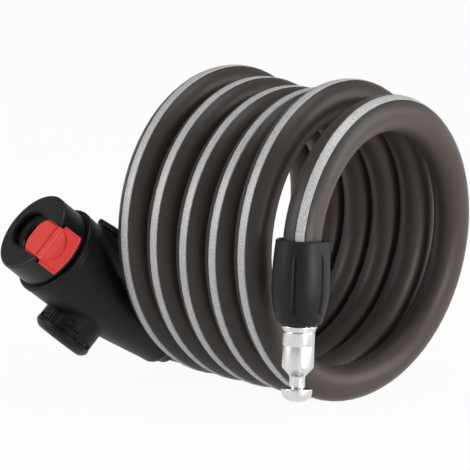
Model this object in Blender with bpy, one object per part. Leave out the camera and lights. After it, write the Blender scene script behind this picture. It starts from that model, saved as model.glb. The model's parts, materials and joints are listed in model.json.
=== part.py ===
"""Self-coiling cable lock for a bicycle: a sprung PVC cable with a push-in bolt on one end
and a key-operated lock head on the other. Metres, +Z up. The origin lies on the surface that
the coil stands on, under the fourth turn, and the coil's axis runs along X."""

import math

import bmesh
import bpy
import numpy as np
from mathutils import Matrix, Vector

MM = 0.001

# Fits
GAP = 0.3 * MM  # between pieces that touch on the real lock
SWING = 0.2 * MM  # what a spiral cam reaches past its own radius

# Cable and its coil
CABLE_DIAMETER = 12.0 * MM
CORE_DIAMETER = 6.0 * MM
COIL_RADIUS = 46.2 * MM  # at the middle of the cable
TURN_GAP = 1.0 * MM  # between neighbouring turns
POINTS_A_TURN = 24
FIRST_TURN = 0.10  # where the lead from the lock meets the coil, in turns
LAST_TURN = 5.702  # where the coil ends at the bolt sleeve
OPEN_FROM = 4.7  # the last turn opens out from here
OPEN_RATE = 6.86 * MM  # per turn squared
TOP_RISE = (2.2 * MM, -0.5 * MM, -2.3 * MM, -1.5 * MM, 2.6 * MM, -0.9 * MM)  # of each turn's top
LEAN = 0.6 * MM  # that each turn stands closer to the next where the coil leans over
FAR_LEAN_END = 5.25  # the far side leans up to this turn
NEAR_LEAN_START = 3.25  # and the near side from this one
BOLT_WAY = (0.054, -0.113, -1.0)  # how the bolt end hangs
FLAT_SHARE = 0.1  # of the diameter, cut flat where the coil stands
ORIGIN_TURN = 3
LEAD_STEPS = 5

# Lock head: where it stands, how it leans, and its length
LEAD_END = (-7.1 * MM, -18.7 * MM, 7.4 * MM)  # from the bottom of the coil to the straight cable
HEAD_RISE = math.radians(41)
HEAD_TURN = math.radians(15)
HEAD_ROLL = math.radians(-6.6)
FACE_HEIGHT = 34.4 * MM  # cap face over the bolt socket's axis
LEAD_DEPTH = 30.2 * MM  # straight cable ends this far under the bolt socket's axis
TAIL_DEPTH = 36.7 * MM
SHELL_WALL = 2.0 * MM
TAIL_WALL = 1.4 * MM
TAIL_FLARE = 0.4 * MM  # room for the cable to bend inside the tail

# Bolt
BOLT_DIAMETER = 10.2 * MM
BOLT_HEAD_DIAMETER = 9.7 * MM
BOLT_NECK_DIAMETER = 5.0 * MM
BOLT_FLANGE_DIAMETER = 11.4 * MM
BOLT_LENGTH = 12.0 * MM
BOLT_FLANGE = 1.3 * MM
BOLT_CONE = 2.9 * MM
BOLT_NECK = 3.5 * MM
BOLT_HEAD = 4.8 * MM
SHANK_WALL = 1.5 * MM
SHANK_LENGTH = 11.5 * MM

# Bolt sleeve
SLEEVE_START = 1.5 * MM
SLEEVE_LENGTH = 26.6 * MM
SLEEVE_TOP_WALL = 2.1 * MM
SLEEVE_BELLY = 0.8 * MM
SLEEVE_EDGE = 0.7 * MM  # rounding of its ends
GROOVES = 6
GROOVE_TURN = math.radians(5.5)
GROOVE_WIDTH = 0.9 * MM
GROOVE_DEPTH = 1.0 * MM
GROOVE_START = 4.3 * MM  # under the sleeve's upper end
GROOVE_LENGTH = 19.0 * MM

# Lock cylinder
PLUG_DIAMETER = 12.4 * MM
PLUG_FLANGE = 0.8 * MM
BARREL_WALL = 2.0 * MM
FACE_SINK = 3.5 * MM  # cylinder face under the cap face
WAFERS = 5
WAFER_PITCH = 2.6 * MM
WAFER_THICK = 1.2 * MM
WAFER_WIDTH = 6.0 * MM
KEYWAY_WIDTH = 2.2 * MM
KEYWAY_HEIGHT = 8.0 * MM
STUB_RADIUS = 4.0 * MM
CAM_THICK = 1.8 * MM
CAM_RADIUS = 4.2 * MM
SCREW_HEAD_HEIGHT = 1.1 * MM
CLIP_THICK = 0.8 * MM

# Chassis, latch and spring
CHASSIS_WALL = 4.2 * MM
SOCKET_ROOF = 0.8 * MM  # between the bolt socket and the cam chamber
SOCKET_FLOOR = 2.2 * MM  # between the bolt socket and the cable anchor
LATCH_TRAVEL = 2.2 * MM
KEY_ANGLE = math.radians(90)
LATCH_THICK = 1.7 * MM
LATCH_BITE = 0.5 * MM  # latch tip to the bolt's neck
SPRING_WIRE = 0.45 * MM
SPRING_DIAMETER = 3.6 * MM
SPRING_LENGTH = 4.0 * MM
SPRING_CURLS = 4
CURL_POINTS = 9
SPRING_SIDE = -1.2 * MM  # of the head's axis
TAB_SIDE = 1.6 * MM

# Socket boss and bracket rail
BOSS_REACH = 23.0 * MM  # boss end from the head's axis
LINER_WALL = 1.6 * MM
COLLAR_WALL = 2.3 * MM
BOSS_RIM = 0.9 * MM
BOSS_RIM_THICK = 2.4 * MM
LUGS = 5
RAIL_REACH = 18.6 * MM
RAIL_THICK = 2.2 * MM
RAIL_WIDTH = 14.0 * MM
RAIL_WEB = 7.0 * MM
RAIL_TOP = 13.4 * MM
RAIL_BOTTOM = -14.2 * MM
RAIL_SCREWS = (9.6 * MM, -8.6 * MM)
SCREW_RADIUS = 1.4 * MM

# Cap and dust cover
CAP_RADIUS = 14.5 * MM
CAP_FOOT = 23.6 * MM  # cap's lower edge over the bolt socket's axis
COVER_WIDTH = 12.6 * MM
COVER_APEX = -0.2 * MM
COVER_NOSE = 4.2 * MM
COVER_THICK = 1.4 * MM
COVER_SINK = 0.6 * MM  # cover's top under the cap face
COVER_CREASE = 14.8 * MM
COVER_RUNNER = 1.0 * MM  # runner past the cover's side
LIP_LENGTH = 7.3 * MM
LIP_WIDTH = 15.0 * MM
LIP_THICK = 1.9 * MM
LIP_DROP = math.radians(55)
SLOT_END = -9.7 * MM

# Cable anchor
ANCHOR_WALL = 0.9 * MM
ANCHOR_CUP = 7.0 * MM
ANCHOR_NECK = 1.9 * MM
PIN_RADIUS = 1.2 * MM

ROUND = 32  # sides of the larger turned pieces
SMALL_ROUND = 20

# Worked out from the sizes above
CABLE_RADIUS = CABLE_DIAMETER / 2
CORE_RADIUS = CORE_DIAMETER / 2
PITCH = CABLE_DIAMETER + TURN_GAP
BORE_RADIUS = CABLE_RADIUS + GAP
CORE_BORE = CORE_RADIUS + GAP
COIL_HEIGHT = COIL_RADIUS * math.cos(math.pi / POINTS_A_TURN) + CABLE_RADIUS - FLAT_SHARE * CABLE_DIAMETER
PLUG_RADIUS = PLUG_DIAMETER / 2
PLUG_BORE = PLUG_RADIUS + GAP
BARREL_RADIUS = PLUG_BORE + BARREL_WALL
BARREL_BORE = BARREL_RADIUS + GAP
CHASSIS_RADIUS = BARREL_BORE + CHASSIS_WALL
SHELL_INSIDE = CHASSIS_RADIUS + GAP + 0.2 * MM
SHELL_RADIUS = SHELL_INSIDE + SHELL_WALL + 0.7 * MM
BOLT_BORE = BOLT_DIAMETER / 2 + GAP
LINER_RADIUS = BOLT_BORE + LINER_WALL
COLLAR_BORE = LINER_RADIUS + GAP
COLLAR_RADIUS = COLLAR_BORE + COLLAR_WALL
BOSS_RADIUS = COLLAR_RADIUS + BOSS_RIM
SEAT = BOSS_REACH - BOLT_FLANGE  # where the bolt's flange stops, inside the boss
NECK_PLANE = SEAT - BOLT_LENGTH - BOLT_CONE - BOLT_NECK / 2  # on the boss side of the axis
CHAMBER_FLOOR = BOLT_BORE + SOCKET_ROOF
SCREW_FLOOR = CHAMBER_FLOOR + GAP
CAM_FLOOR = SCREW_FLOOR + SCREW_HEAD_HEIGHT + GAP
STUB_END = CAM_FLOOR + CAM_THICK + GAP
CLIP_FLOOR = STUB_END + 1.2 * MM
BARREL_FLOOR = CLIP_FLOOR + CLIP_THICK + GAP
BARREL_TOP = FACE_HEIGHT - FACE_SINK
CLIP_RADIUS = PLUG_BORE + 0.9 * MM
CHAMBER_RADIUS = CLIP_RADIUS + GAP
CHASSIS_TOP = BARREL_FLOOR + 7.9 * MM
CAP_SPIGOT = CHASSIS_TOP + GAP
SPIGOT_RADIUS = CHASSIS_RADIUS + 0.4 * MM
MOUTH_RADIUS = SPIGOT_RADIUS + GAP
CAM_RATE = LATCH_TRAVEL / KEY_ANGLE
TIP = BOLT_NECK_DIAMETER / 2 + LATCH_BITE
TAB = CAM_RADIUS + SWING + GAP
LATCH_BACK = TAB + LATCH_THICK
LATCH_NEAR = NECK_PLANE + BOLT_NECK / 2 - GAP  # latch faces, on the boss side of the axis
LATCH_FAR = NECK_PLANE - BOLT_NECK / 2 + GAP
ANCHOR_TOP = -(BOLT_BORE + SOCKET_FLOOR + GAP)
ANCHOR_SHOULDER = -(LEAD_DEPTH - CABLE_DIAMETER - 1.5 * MM)
ANCHOR_FLOOR = ANCHOR_SHOULDER - 1.0 * MM
JACKET_TOP = ANCHOR_FLOOR - GAP
ANCHOR_RADIUS = BORE_RADIUS + ANCHOR_WALL
ANCHOR_NECK_RADIUS = CORE_BORE + ANCHOR_NECK
CHASSIS_FOOT = ANCHOR_SHOULDER + GAP
FOOT_RADIUS = ANCHOR_NECK_RADIUS + GAP + 4.1 * MM
TAIL_RADIUS = BORE_RADIUS + TAIL_WALL
SLOT_HALF = COVER_WIDTH / 2 + GAP
RUNNER_HALF = SLOT_HALF + COVER_RUNNER
RUNNER_FLOOR = FACE_HEIGHT - 2.3 * MM
RUNNER_ROOF = FACE_HEIGHT - 1.0 * MM
COVER_TOP = FACE_HEIGHT - COVER_SINK
LIP_ROOT = COVER_CREASE - 0.2 * MM
SLEEVE_RADIUS = BORE_RADIUS + SLEEVE_TOP_WALL
SHANK_RADIUS = CORE_BORE + SHANK_WALL
JACKET_FOOT = SLEEVE_START + SLEEVE_LENGTH - SHANK_LENGTH - GAP
LATCH_HALF = BOLT_NECK_DIAMETER / 2 + 1.2 * MM
TAB_TOP = CLIP_FLOOR - GAP
LINER_START = LATCH_NEAR + GAP + 1.2 * MM
SPRING_HEIGHT = (SCREW_FLOOR + TAB_TOP) / 2 + 0.3 * MM
PIN_SIDE = ANCHOR_NECK_RADIUS - 1.1 * MM + GAP + PIN_RADIUS  # on the rail side of the axis
PIN_HEIGHT = (ANCHOR_TOP + ANCHOR_SHOULDER) / 2
BARREL_PIN_HEIGHT = BARREL_FLOOR + 5.4 * MM


def clear_scene():
    for thing in list(bpy.data.objects):
        bpy.data.objects.remove(thing)


def finish(name, colour, roughness, metallic=0.0):
    made = bpy.data.materials.new(name)
    made.use_nodes = True
    shader = made.node_tree.nodes["Principled BSDF"]
    shader.inputs["Base Color"].default_value = (*colour, 1)
    shader.inputs["Roughness"].default_value = roughness
    shader.inputs["Metallic"].default_value = metallic
    return made


def place(name, data, material=None, parent=None):
    made = bpy.data.objects.new(name, data)
    bpy.context.scene.collection.objects.link(made)
    made.parent = parent
    if material:
        data.materials.append(material)
    return made


def helper(name, mesh, parent):
    made = place(name, mesh, None, parent)
    made.hide_render = True
    made.display_type = "WIRE"
    return made


def combine(target, tool, operation):
    modifier = target.modifiers.new(tool.name, "BOOLEAN")
    modifier.operation = operation
    modifier.solver = "EXACT"
    modifier.object = tool


def cut(target, *tools):
    for tool in tools:
        combine(target, tool, "DIFFERENCE")


def join(target, *tools):
    for tool in tools:
        combine(target, tool, "UNION")


def mesh_from(bm, name):
    bmesh.ops.remove_doubles(bm, verts=bm.verts, dist=1e-7)
    bmesh.ops.recalc_face_normals(bm, faces=bm.faces)
    mesh = bpy.data.meshes.new(name)
    bm.to_mesh(mesh)
    bm.free()
    mesh.shade_smooth()
    mesh.set_sharp_from_angle(angle=math.radians(35))
    return mesh


def turned(name, outline, sides=ROUND, hollow=True):
    """A mesh turned about Z from (radius, height) points: a loop round a bore, or an axis to axis line."""
    bm = bmesh.new()
    points = [bm.verts.new((radius, 0, height)) for radius, height in outline]
    pairs = list(zip(points, points[1:]))
    if hollow:
        pairs.append((points[-1], points[0]))
    edges = [bm.edges.new(pair) for pair in pairs]
    bmesh.ops.spin(bm, geom=points + edges, axis=(0, 0, 1), cent=(0, 0, 0), angle=math.tau, steps=sides,
                   use_merge=True)
    return mesh_from(bm, name)


def prism(name, outline, low, high):
    """A mesh of a flat (x, y) outline raised from one height to another."""
    bm = bmesh.new()
    face = bm.faces.new([bm.verts.new((x, y, low)) for x, y in outline])
    raised = bmesh.ops.extrude_face_region(bm, geom=[face])["geom"]
    corners = [item for item in raised if isinstance(item, bmesh.types.BMVert)]
    bmesh.ops.translate(bm, verts=corners, vec=(0, 0, high - low))
    return mesh_from(bm, name)


def block(name, low, high):
    outline = [(low[0], low[1]), (high[0], low[1]), (high[0], high[1]), (low[0], high[1])]
    return prism(name, outline, low[2], high[2])


def rod(name, radius, low, high, sides=SMALL_ROUND):
    return turned(name, [(0, high), (radius, high), (radius, low), (0, low)], sides, hollow=False)


def arc(centre, radii, start, end, steps):
    """Points on an ellipse about (x, y), both ends kept."""
    turns = [start + (end - start) * step / steps for step in range(steps + 1)]
    return [(centre[0] + radii[0] * math.cos(turn), centre[1] + radii[1] * math.sin(turn)) for turn in turns]


def along_x(thing, y, z):
    thing.matrix_local = Matrix.Translation((0, y, z)) @ Matrix.Rotation(math.radians(90), 4, "Y")
    return thing


def toward_boss(thing, z=0.0):
    """Turns a piece so that its own Z runs from the head's axis out through the boss."""
    thing.matrix_local = Matrix.Translation((0, 0, z)) @ Matrix.Rotation(math.radians(90), 4, "X")
    return thing


def toward_rail(thing, z=0.0):
    thing.matrix_local = Matrix.Translation((0, 0, z)) @ Matrix.Rotation(math.radians(-90), 4, "X")
    return thing


# The cable's route

def coil_point(turn):
    """The cable's middle at a count of turns from the lock end. Each turn starts at the bottom."""
    opened = max(0.0, turn - OPEN_FROM)
    rise = TOP_RISE[min(int(turn), len(TOP_RISE) - 1)]
    angle = math.tau * turn
    far = (1 + math.sin(angle)) / 2
    lean = LEAN * ((FAR_LEAN_END - turn) * far - max(0.0, turn - NEAR_LEAN_START) * (1 - far))
    over = PITCH * (turn - ORIGIN_TURN) + OPEN_RATE * opened ** 2 + lean
    up = COIL_HEIGHT - COIL_RADIUS * math.cos(angle) + rise * (1 - math.cos(angle)) / 2
    return Vector((over, COIL_RADIUS * math.sin(angle), up))


def coil_direction(turn):
    step = 1e-4
    return (coil_point(turn + step) - coil_point(turn - step)).normalized()


def head_matrix():
    """Head frame: +Z to the key, -Y out of the boss, origin where the bolt socket's axis crosses."""
    turn = Matrix.Rotation(-HEAD_TURN, 4, "Z")
    lean = Matrix.Rotation(math.radians(90) - HEAD_RISE, 4, "X")
    spin = turn @ lean @ Matrix.Rotation(HEAD_ROLL, 4, "Z")
    bottom = Vector((PITCH * -ORIGIN_TURN, 0, COIL_HEIGHT - COIL_RADIUS))
    lead_end = bottom + Vector(LEAD_END)
    return Matrix.Translation(lead_end + spin @ Vector((0, 0, LEAD_DEPTH))) @ spin


def lead_point(share):
    """The bend that takes the cable from the lock's tail to the coil, a cubic from tail to coil."""
    head = head_matrix()
    start = head @ Vector((0, 0, -LEAD_DEPTH))
    start_way = -(head.to_3x3() @ Vector((0, 0, 1)))
    end = coil_point(FIRST_TURN)
    end_way = coil_direction(FIRST_TURN)
    bend = start_way.angle(end_way)
    radius = (end - start).length / (2 * math.sin(bend / 2))
    reach = 4 / 3 * math.tan(bend / 4) * radius
    points = (start, start + start_way * reach, end - end_way * reach, end)
    rest = 1 - share
    weights = (rest ** 3, 3 * rest ** 2 * share, 3 * rest * share ** 2, share ** 3)
    return sum((point * weight for point, weight in zip(points, weights)), Vector())


def bolt_matrix():
    """Bolt end frame: +Z down the bolt, origin where the coil ends."""
    way = Vector(BOLT_WAY).normalized()
    return Matrix.Translation(coil_point(LAST_TURN)) @ way.to_track_quat("Z", "X").to_matrix().to_4x4()


def cable_route(head_end, bolt_end):
    """Points from inside the lock, round the coil and into the bolt sleeve."""
    head = head_matrix()
    points = [head @ Vector((0, 0, head_end)), head @ Vector((0, 0, (head_end - LEAD_DEPTH) / 2))]
    points += [lead_point(step / LEAD_STEPS) for step in range(LEAD_STEPS)]
    # Half a step on, so that a straight stretch lies at the bottom of each turn
    first = math.ceil(FIRST_TURN * POINTS_A_TURN - 0.5)
    last = math.floor(LAST_TURN * POINTS_A_TURN - 0.5)
    points.append(coil_point(FIRST_TURN))
    points += [coil_point((step + 0.5) / POINTS_A_TURN) for step in range(first + 1, last)]
    bolt = bolt_matrix()
    points.append(coil_point(LAST_TURN))
    points.append(bolt @ Vector((0, 0, bolt_end)))
    return points


def tube(name, points, radius):
    data = bpy.data.curves.new(name, "CURVE")
    data.dimensions = "3D"
    data.bevel_depth = radius
    data.bevel_resolution = 1
    data.use_fill_caps = True
    line = data.splines.new("POLY")
    line.points.add(len(points) - 1)
    for point, spot in zip(line.points, points):
        point.co = (*spot, 1)
    return data


def closed_mesh(curve_data):
    """A curve's tube as one closed mesh, ready to be cut."""
    guide = place(curve_data.name, curve_data)
    bpy.context.view_layer.update()
    graph = bpy.context.evaluated_depsgraph_get()
    made = bpy.data.meshes.new_from_object(guide.evaluated_get(graph))
    bpy.data.objects.remove(guide)
    bm = bmesh.new()
    bm.from_mesh(made)
    return mesh_from(bm, curve_data.name)


def least_gap(points, diameter):
    """Least clear distance between stretches of the cable that are not neighbours."""
    line = [a.lerp(b, step / 4) for a, b in zip(points, points[1:]) for step in range(4)]
    spots = np.array([tuple(spot) for spot in line])
    run = np.concatenate([[0], np.cumsum(np.linalg.norm(np.diff(spots, axis=0), axis=1))])
    apart = np.linalg.norm(spots[:, None] - spots[None], axis=2)
    apart[np.abs(run[:, None] - run[None]) < math.pi * COIL_RADIUS / 2] = np.inf
    return apart.min() - diameter


def make_cable(finishes):
    points = cable_route(JACKET_TOP, JACKET_FOOT)
    gap = least_gap(points, CABLE_DIAMETER)
    length = sum((b - a).length for a, b in zip(points, points[1:]))
    print(f"cable {length:.3f} m long, least gap between turns {gap / MM:.2f} mm")
    outside = closed_mesh(tube("cable_jacket", points, CABLE_RADIUS))
    jacket = place("cable_jacket", outside, finishes["jacket"])
    core_points = cable_route(ANCHOR_TOP - GAP, SLEEVE_START + SLEEVE_LENGTH - 2 * MM)
    bore = helper("jacket_bore", closed_mesh(tube("jacket_bore", core_points, CORE_BORE)), None)
    floor = helper("standing_flat", block("standing_flat", (-0.3, -0.3, -0.05), (0.3, 0.3, 0)), None)
    cut(jacket, bore, floor)
    place("cable_core", tube("cable_core", core_points, CORE_RADIUS), finishes["rope"])


# Bolt end

def make_bolt_end(finishes, frame):
    end = SLEEVE_START + SLEEVE_LENGTH
    step = JACKET_FOOT + GAP
    shank_bore = SHANK_RADIUS + GAP
    belly = SLEEVE_RADIUS + SLEEVE_BELLY
    foot = SLEEVE_RADIUS - SLEEVE_EDGE

    def down(share):
        return SLEEVE_START + SLEEVE_LENGTH * share

    outline = [
        (BORE_RADIUS, SLEEVE_START + SLEEVE_EDGE), (BORE_RADIUS + SLEEVE_EDGE, SLEEVE_START),
        (SLEEVE_RADIUS - SLEEVE_EDGE, SLEEVE_START), (SLEEVE_RADIUS, SLEEVE_START + 2 * SLEEVE_EDGE),
        (belly - 0.15 * MM, down(0.32)), (belly, down(0.52)), (belly - 0.2 * MM, down(0.72)),
        (SLEEVE_RADIUS, end - 5 * SLEEVE_EDGE), (foot, end - 1.5 * SLEEVE_EDGE), (foot - SLEEVE_EDGE, end),
        (shank_bore, end), (shank_bore, step), (BORE_RADIUS, step)]
    sleeve = place("bolt_sleeve", turned("bolt_sleeve", outline), finishes["black"], frame)
    groove_top = SLEEVE_START + GROOVE_START
    for count in range(GROOVES):
        shape = block("sleeve_groove", (belly - GROOVE_DEPTH, -GROOVE_WIDTH / 2, groove_top),
                      (belly + 1 * MM, GROOVE_WIDTH / 2, groove_top + GROOVE_LENGTH))
        groove = helper(f"sleeve_groove_{count + 1}", shape, frame)
        groove.rotation_euler.z = GROOVE_TURN + math.tau * count / GROOVES
        cut(sleeve, groove)

    radius = BOLT_DIAMETER / 2
    neck = BOLT_NECK_DIAMETER / 2
    head = BOLT_HEAD_DIAMETER / 2
    flange = end + GAP
    body = flange + BOLT_FLANGE
    cone = body + BOLT_LENGTH
    neck_start = cone + BOLT_CONE
    head_start = neck_start + BOLT_NECK
    tip = head_start + BOLT_HEAD
    skirt = head_start + 1.4 * MM
    dome = arc((0, skirt), (head, tip - skirt), 0, math.pi / 2, 4)
    core_end = SLEEVE_START + SLEEVE_LENGTH - 2 * MM + GAP
    shank = end - SHANK_LENGTH
    outline = [
        (0, core_end), (CORE_BORE, core_end), (CORE_BORE, shank), (SHANK_RADIUS, shank),
        (SHANK_RADIUS, flange), (BOLT_FLANGE_DIAMETER / 2, flange), (BOLT_FLANGE_DIAMETER / 2, body),
        (radius, body), (radius, cone), (neck, neck_start), (neck, head_start), (head, head_start),
        *dome[:-1], (0, tip)]
    place("bolt", turned("bolt", outline, hollow=False), finishes["steel"], frame)


# Lock head: casing

def shell_path(height):
    """Middle, sideways and forward directions of the head at a height on its axis, bent along the tail."""
    if height >= -LEAD_DEPTH:
        return Vector((0, 0, height)), Vector((1, 0, 0)), Vector((0, 1, 0))
    into = head_matrix().inverted()
    whole = sum((lead_point((n + 1) / 40) - lead_point(n / 40)).length for n in range(40))
    share = (-LEAD_DEPTH - height) / whole
    step = 0.01
    middle = into @ lead_point(share)
    way = (into @ lead_point(share - step) - into @ lead_point(share + step)).normalized()
    side = (Vector((1, 0, 0)) - way * way.x).normalized()
    return middle, side, way.cross(side)


def shell_outside():
    """(height, radius) points down the outside of the head, from the rim to the tail."""
    rim = CAP_FOOT - GAP
    tail_drop = TAIL_DEPTH - LEAD_DEPTH
    waist = SHELL_INSIDE + SHELL_WALL - 1.0 * MM
    return [
        (rim, SHELL_RADIUS - 0.8 * MM), (rim - 0.5 * MM, SHELL_RADIUS - 0.2 * MM),
        (rim - 1.6 * MM, SHELL_RADIUS), (rim - 12 * MM, SHELL_RADIUS - 0.4 * MM), (0, waist),
        (ANCHOR_TOP - 4 * MM, waist - 1.7 * MM),
        (ANCHOR_SHOULDER - 4 * MM, TAIL_RADIUS + 4 * MM), (ANCHOR_FLOOR - ANCHOR_CUP, TAIL_RADIUS + 2.6 * MM),
        (-LEAD_DEPTH, TAIL_RADIUS + 1.5 * MM), (-LEAD_DEPTH - tail_drop / 2, TAIL_RADIUS + 0.7 * MM),
        (-TAIL_DEPTH, TAIL_RADIUS)]


def chassis_outside():
    """(radius, height) points down the outside of the chassis."""
    return [(CHASSIS_RADIUS, CHASSIS_TOP), (CHASSIS_RADIUS - 0.9 * MM, 0), (FOOT_RADIUS, CHASSIS_FOOT)]


def make_shell(finishes, frame):
    rim = CAP_FOOT - GAP
    tail_drop = TAIL_DEPTH - LEAD_DEPTH
    room = GAP + 0.2 * MM
    cup_room = ANCHOR_RADIUS + GAP
    cup_foot = ANCHOR_FLOOR - ANCHOR_CUP - GAP
    inside = [
        (-TAIL_DEPTH, BORE_RADIUS + TAIL_FLARE), (-LEAD_DEPTH - tail_drop / 2, BORE_RADIUS + TAIL_FLARE),
        (-LEAD_DEPTH, BORE_RADIUS),
        (cup_foot, BORE_RADIUS), (cup_foot, cup_room), (CHASSIS_FOOT - room, cup_room),
        (CHASSIS_FOOT - room, FOOT_RADIUS + room), (0, CHASSIS_RADIUS - 0.9 * MM + room),
        (CHASSIS_TOP, CHASSIS_RADIUS + room), (CHASSIS_TOP, MOUTH_RADIUS), (rim, MOUTH_RADIUS)]
    bm = bmesh.new()
    rings = []
    for height, radius in shell_outside() + inside:
        middle, side, ahead = shell_path(height)
        turns = [math.tau * step / ROUND for step in range(ROUND)]
        spots = [middle + (side * math.cos(turn) + ahead * math.sin(turn)) * radius for turn in turns]
        rings.append([bm.verts.new(spot) for spot in spots])
    for ring, other in zip(rings, rings[1:] + rings[:1]):
        for step in range(ROUND):
            ahead = (step + 1) % ROUND
            bm.faces.new((ring[step], ring[ahead], other[ahead], other[step]))
    shell = place("head_shell", mesh_from(bm, "head_shell"), finishes["black"], frame)
    hole = rod("boss_hole", COLLAR_RADIUS + GAP, 6 * MM, 25 * MM, ROUND)
    cut(shell, toward_boss(helper("boss_hole", hole, frame)))
    for count, height in enumerate(RAIL_SCREWS):
        hole = rod("shell_screw_hole", SCREW_RADIUS + GAP, 5 * MM, 25 * MM)
        cut(shell, toward_rail(helper(f"shell_screw_hole_{count + 1}", hole, frame), height))


def make_cap(finishes, frame):
    edge = 1.4 * MM
    bead = 0.5 * MM
    roof = BARREL_TOP + GAP
    outline = [
        (BARREL_BORE, CAP_SPIGOT), (SPIGOT_RADIUS, CAP_SPIGOT), (SPIGOT_RADIUS, CAP_FOOT),
        (CAP_RADIUS, CAP_FOOT), (CAP_RADIUS, FACE_HEIGHT - edge), (CAP_RADIUS - bead, FACE_HEIGHT - bead),
        (CAP_RADIUS - edge, FACE_HEIGHT),
        (SLOT_HALF - bead, FACE_HEIGHT), (SLOT_HALF - bead, roof), (BARREL_BORE, roof)]
    cap = place("head_cap", turned("head_cap", outline, 40), finishes["black"], frame)
    past = CAP_RADIUS + 5 * MM

    def channel(name, half, low, high):
        nose = arc((SLOT_END + SLOT_HALF, 0), (half, half), math.pi / 2, 1.5 * math.pi, 12)
        return helper(name, prism(name, nose + [(past, -half), (past, half)], low, high), frame)

    top = FACE_HEIGHT + 2 * MM
    runner = channel("cover_runner_way", RUNNER_HALF, RUNNER_FLOOR, RUNNER_ROOF)
    slot = channel("cover_slot", SLOT_HALF, RUNNER_ROOF - 0.5 * MM, top)
    shelf = COVER_TOP - LIP_THICK - GAP
    start = LIP_ROOT - LIP_THICK * math.tan(LIP_DROP / 2) - GAP
    low = shelf - (past - start) * math.tan(LIP_DROP)
    wedge = [(start, top), (start, shelf), (past, low), (past, top)]
    half = LIP_WIDTH / 2 + GAP
    seat = helper("lip_seat", prism("lip_seat", wedge, -half, half), frame)
    seat.rotation_euler.x = math.radians(90)
    cut(cap, runner, slot, seat)


def make_cover(finishes, frame):
    half = COVER_WIDTH / 2
    side = COVER_APEX + COVER_NOSE
    top = COVER_TOP
    nose = arc((side, 0), (COVER_NOSE, half), math.pi / 2, 1.5 * math.pi, 12)
    body = prism("dust_cover", nose + [(COVER_CREASE, -half), (COVER_CREASE, half)], top - COVER_THICK, top)
    cover = place("dust_cover", body, finishes["red"], frame)
    runner_half = RUNNER_HALF - GAP
    runner_end = CAP_RADIUS * 0.6
    nose = arc((side, 0), (COVER_NOSE - 0.5 * MM, runner_half), math.pi / 2, 1.5 * math.pi, 12)
    outline = nose + [(runner_end, -runner_half), (runner_end, runner_half)]
    under = prism("cover_runner", outline, RUNNER_FLOOR + GAP, RUNNER_ROOF - GAP)
    # The lip's outline, seen from the side: it carries the top face on down the slope
    along = Vector((math.cos(LIP_DROP), -math.sin(LIP_DROP)))
    across = Vector((-math.sin(LIP_DROP), -math.cos(LIP_DROP)))
    crease = Vector((LIP_ROOT, top))
    inner = crease + Vector((-LIP_THICK * math.tan(LIP_DROP / 2), -LIP_THICK))
    far = crease + along * LIP_LENGTH
    outline = [crease, inner, far + across * LIP_THICK, far]
    lip = prism("cover_lip", [tuple(point) for point in outline], -LIP_WIDTH / 2, LIP_WIDTH / 2)
    sloped = helper("cover_lip", lip, frame)
    sloped.rotation_euler.x = math.radians(90)
    join(cover, helper("cover_runner", under, frame), sloped)


# Lock head: cylinder, chassis and latch

def make_chassis(finishes, frame):
    body = turned("lock_chassis", [(0, CHASSIS_TOP), *chassis_outside(), (0, CHASSIS_FOOT)], hollow=False)
    chassis = place("lock_chassis", body, finishes["zinc"], frame)
    reach = CHASSIS_RADIUS + 3 * MM
    bores = {
        "barrel_bore": rod("barrel_bore", BARREL_BORE, BARREL_FLOOR - GAP, CHASSIS_TOP + 2 * MM, ROUND),
        "cam_chamber": rod("cam_chamber", CHAMBER_RADIUS, CHAMBER_FLOOR, BARREL_FLOOR, ROUND),
        "anchor_bore": rod("anchor_bore", ANCHOR_NECK_RADIUS + GAP, CHASSIS_FOOT - 1 * MM, ANCHOR_TOP + GAP),
    }
    tools = [helper(name, mesh, frame) for name, mesh in bores.items()]
    far_x = LATCH_BACK + LATCH_TRAVEL + GAP
    low = (TIP - GAP, -LATCH_NEAR - GAP, -LATCH_HALF - GAP)
    high = (far_x, -LATCH_FAR + GAP, BARREL_FLOOR)
    tools.append(helper("latch_way", block("latch_way", low, high), frame))
    low = (TAB - GAP, -LATCH_NEAR - GAP, CHAMBER_FLOOR)
    high = (far_x, TAB_SIDE + GAP, BARREL_FLOOR - GAP / 2)
    tools.append(helper("tab_way", block("tab_way", low, high), frame))
    bolt_end = SEAT - BOLT_LENGTH - BOLT_CONE - BOLT_NECK - BOLT_HEAD - 0.6 * MM
    bolt_way = rod("bolt_way", BOLT_BORE, bolt_end, reach)
    tools.append(toward_boss(helper("bolt_way", bolt_way, frame)))
    liner_way = rod("liner_way", COLLAR_BORE, LINER_START - GAP, reach)
    tools.append(toward_boss(helper("liner_way", liner_way, frame)))
    spring_way = rod("spring_way", SPRING_DIAMETER / 2 + GAP, LATCH_BACK, reach)
    tools.append(along_x(helper("spring_way", spring_way, frame), SPRING_SIDE, SPRING_HEIGHT))
    pin_way = rod("anchor_pin_way", PIN_RADIUS + GAP, -reach, reach)
    tools.append(along_x(helper("anchor_pin_way", pin_way, frame), PIN_SIDE, PIN_HEIGHT))
    pin_way = rod("barrel_pin_way", PIN_RADIUS + GAP, BARREL_RADIUS - 0.5 * MM, reach)
    tools.append(toward_rail(helper("barrel_pin_way", pin_way, frame), BARREL_PIN_HEIGHT))
    for count, height in enumerate(RAIL_SCREWS):
        way = rod("rail_screw_way", SCREW_RADIUS + GAP, screw_tip(height) - GAP, reach)
        tools.append(toward_rail(helper(f"rail_screw_way_{count + 1}", way, frame), height))
    cut(chassis, *tools)


def screw_tip(height):
    """How near the head's axis a rail screw may reach at a height."""
    if height + SCREW_RADIUS + 2 * GAP > CHAMBER_FLOOR:
        return BARREL_BORE + 0.8 * MM
    return PIN_SIDE + PIN_RADIUS + 2 * GAP


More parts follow.
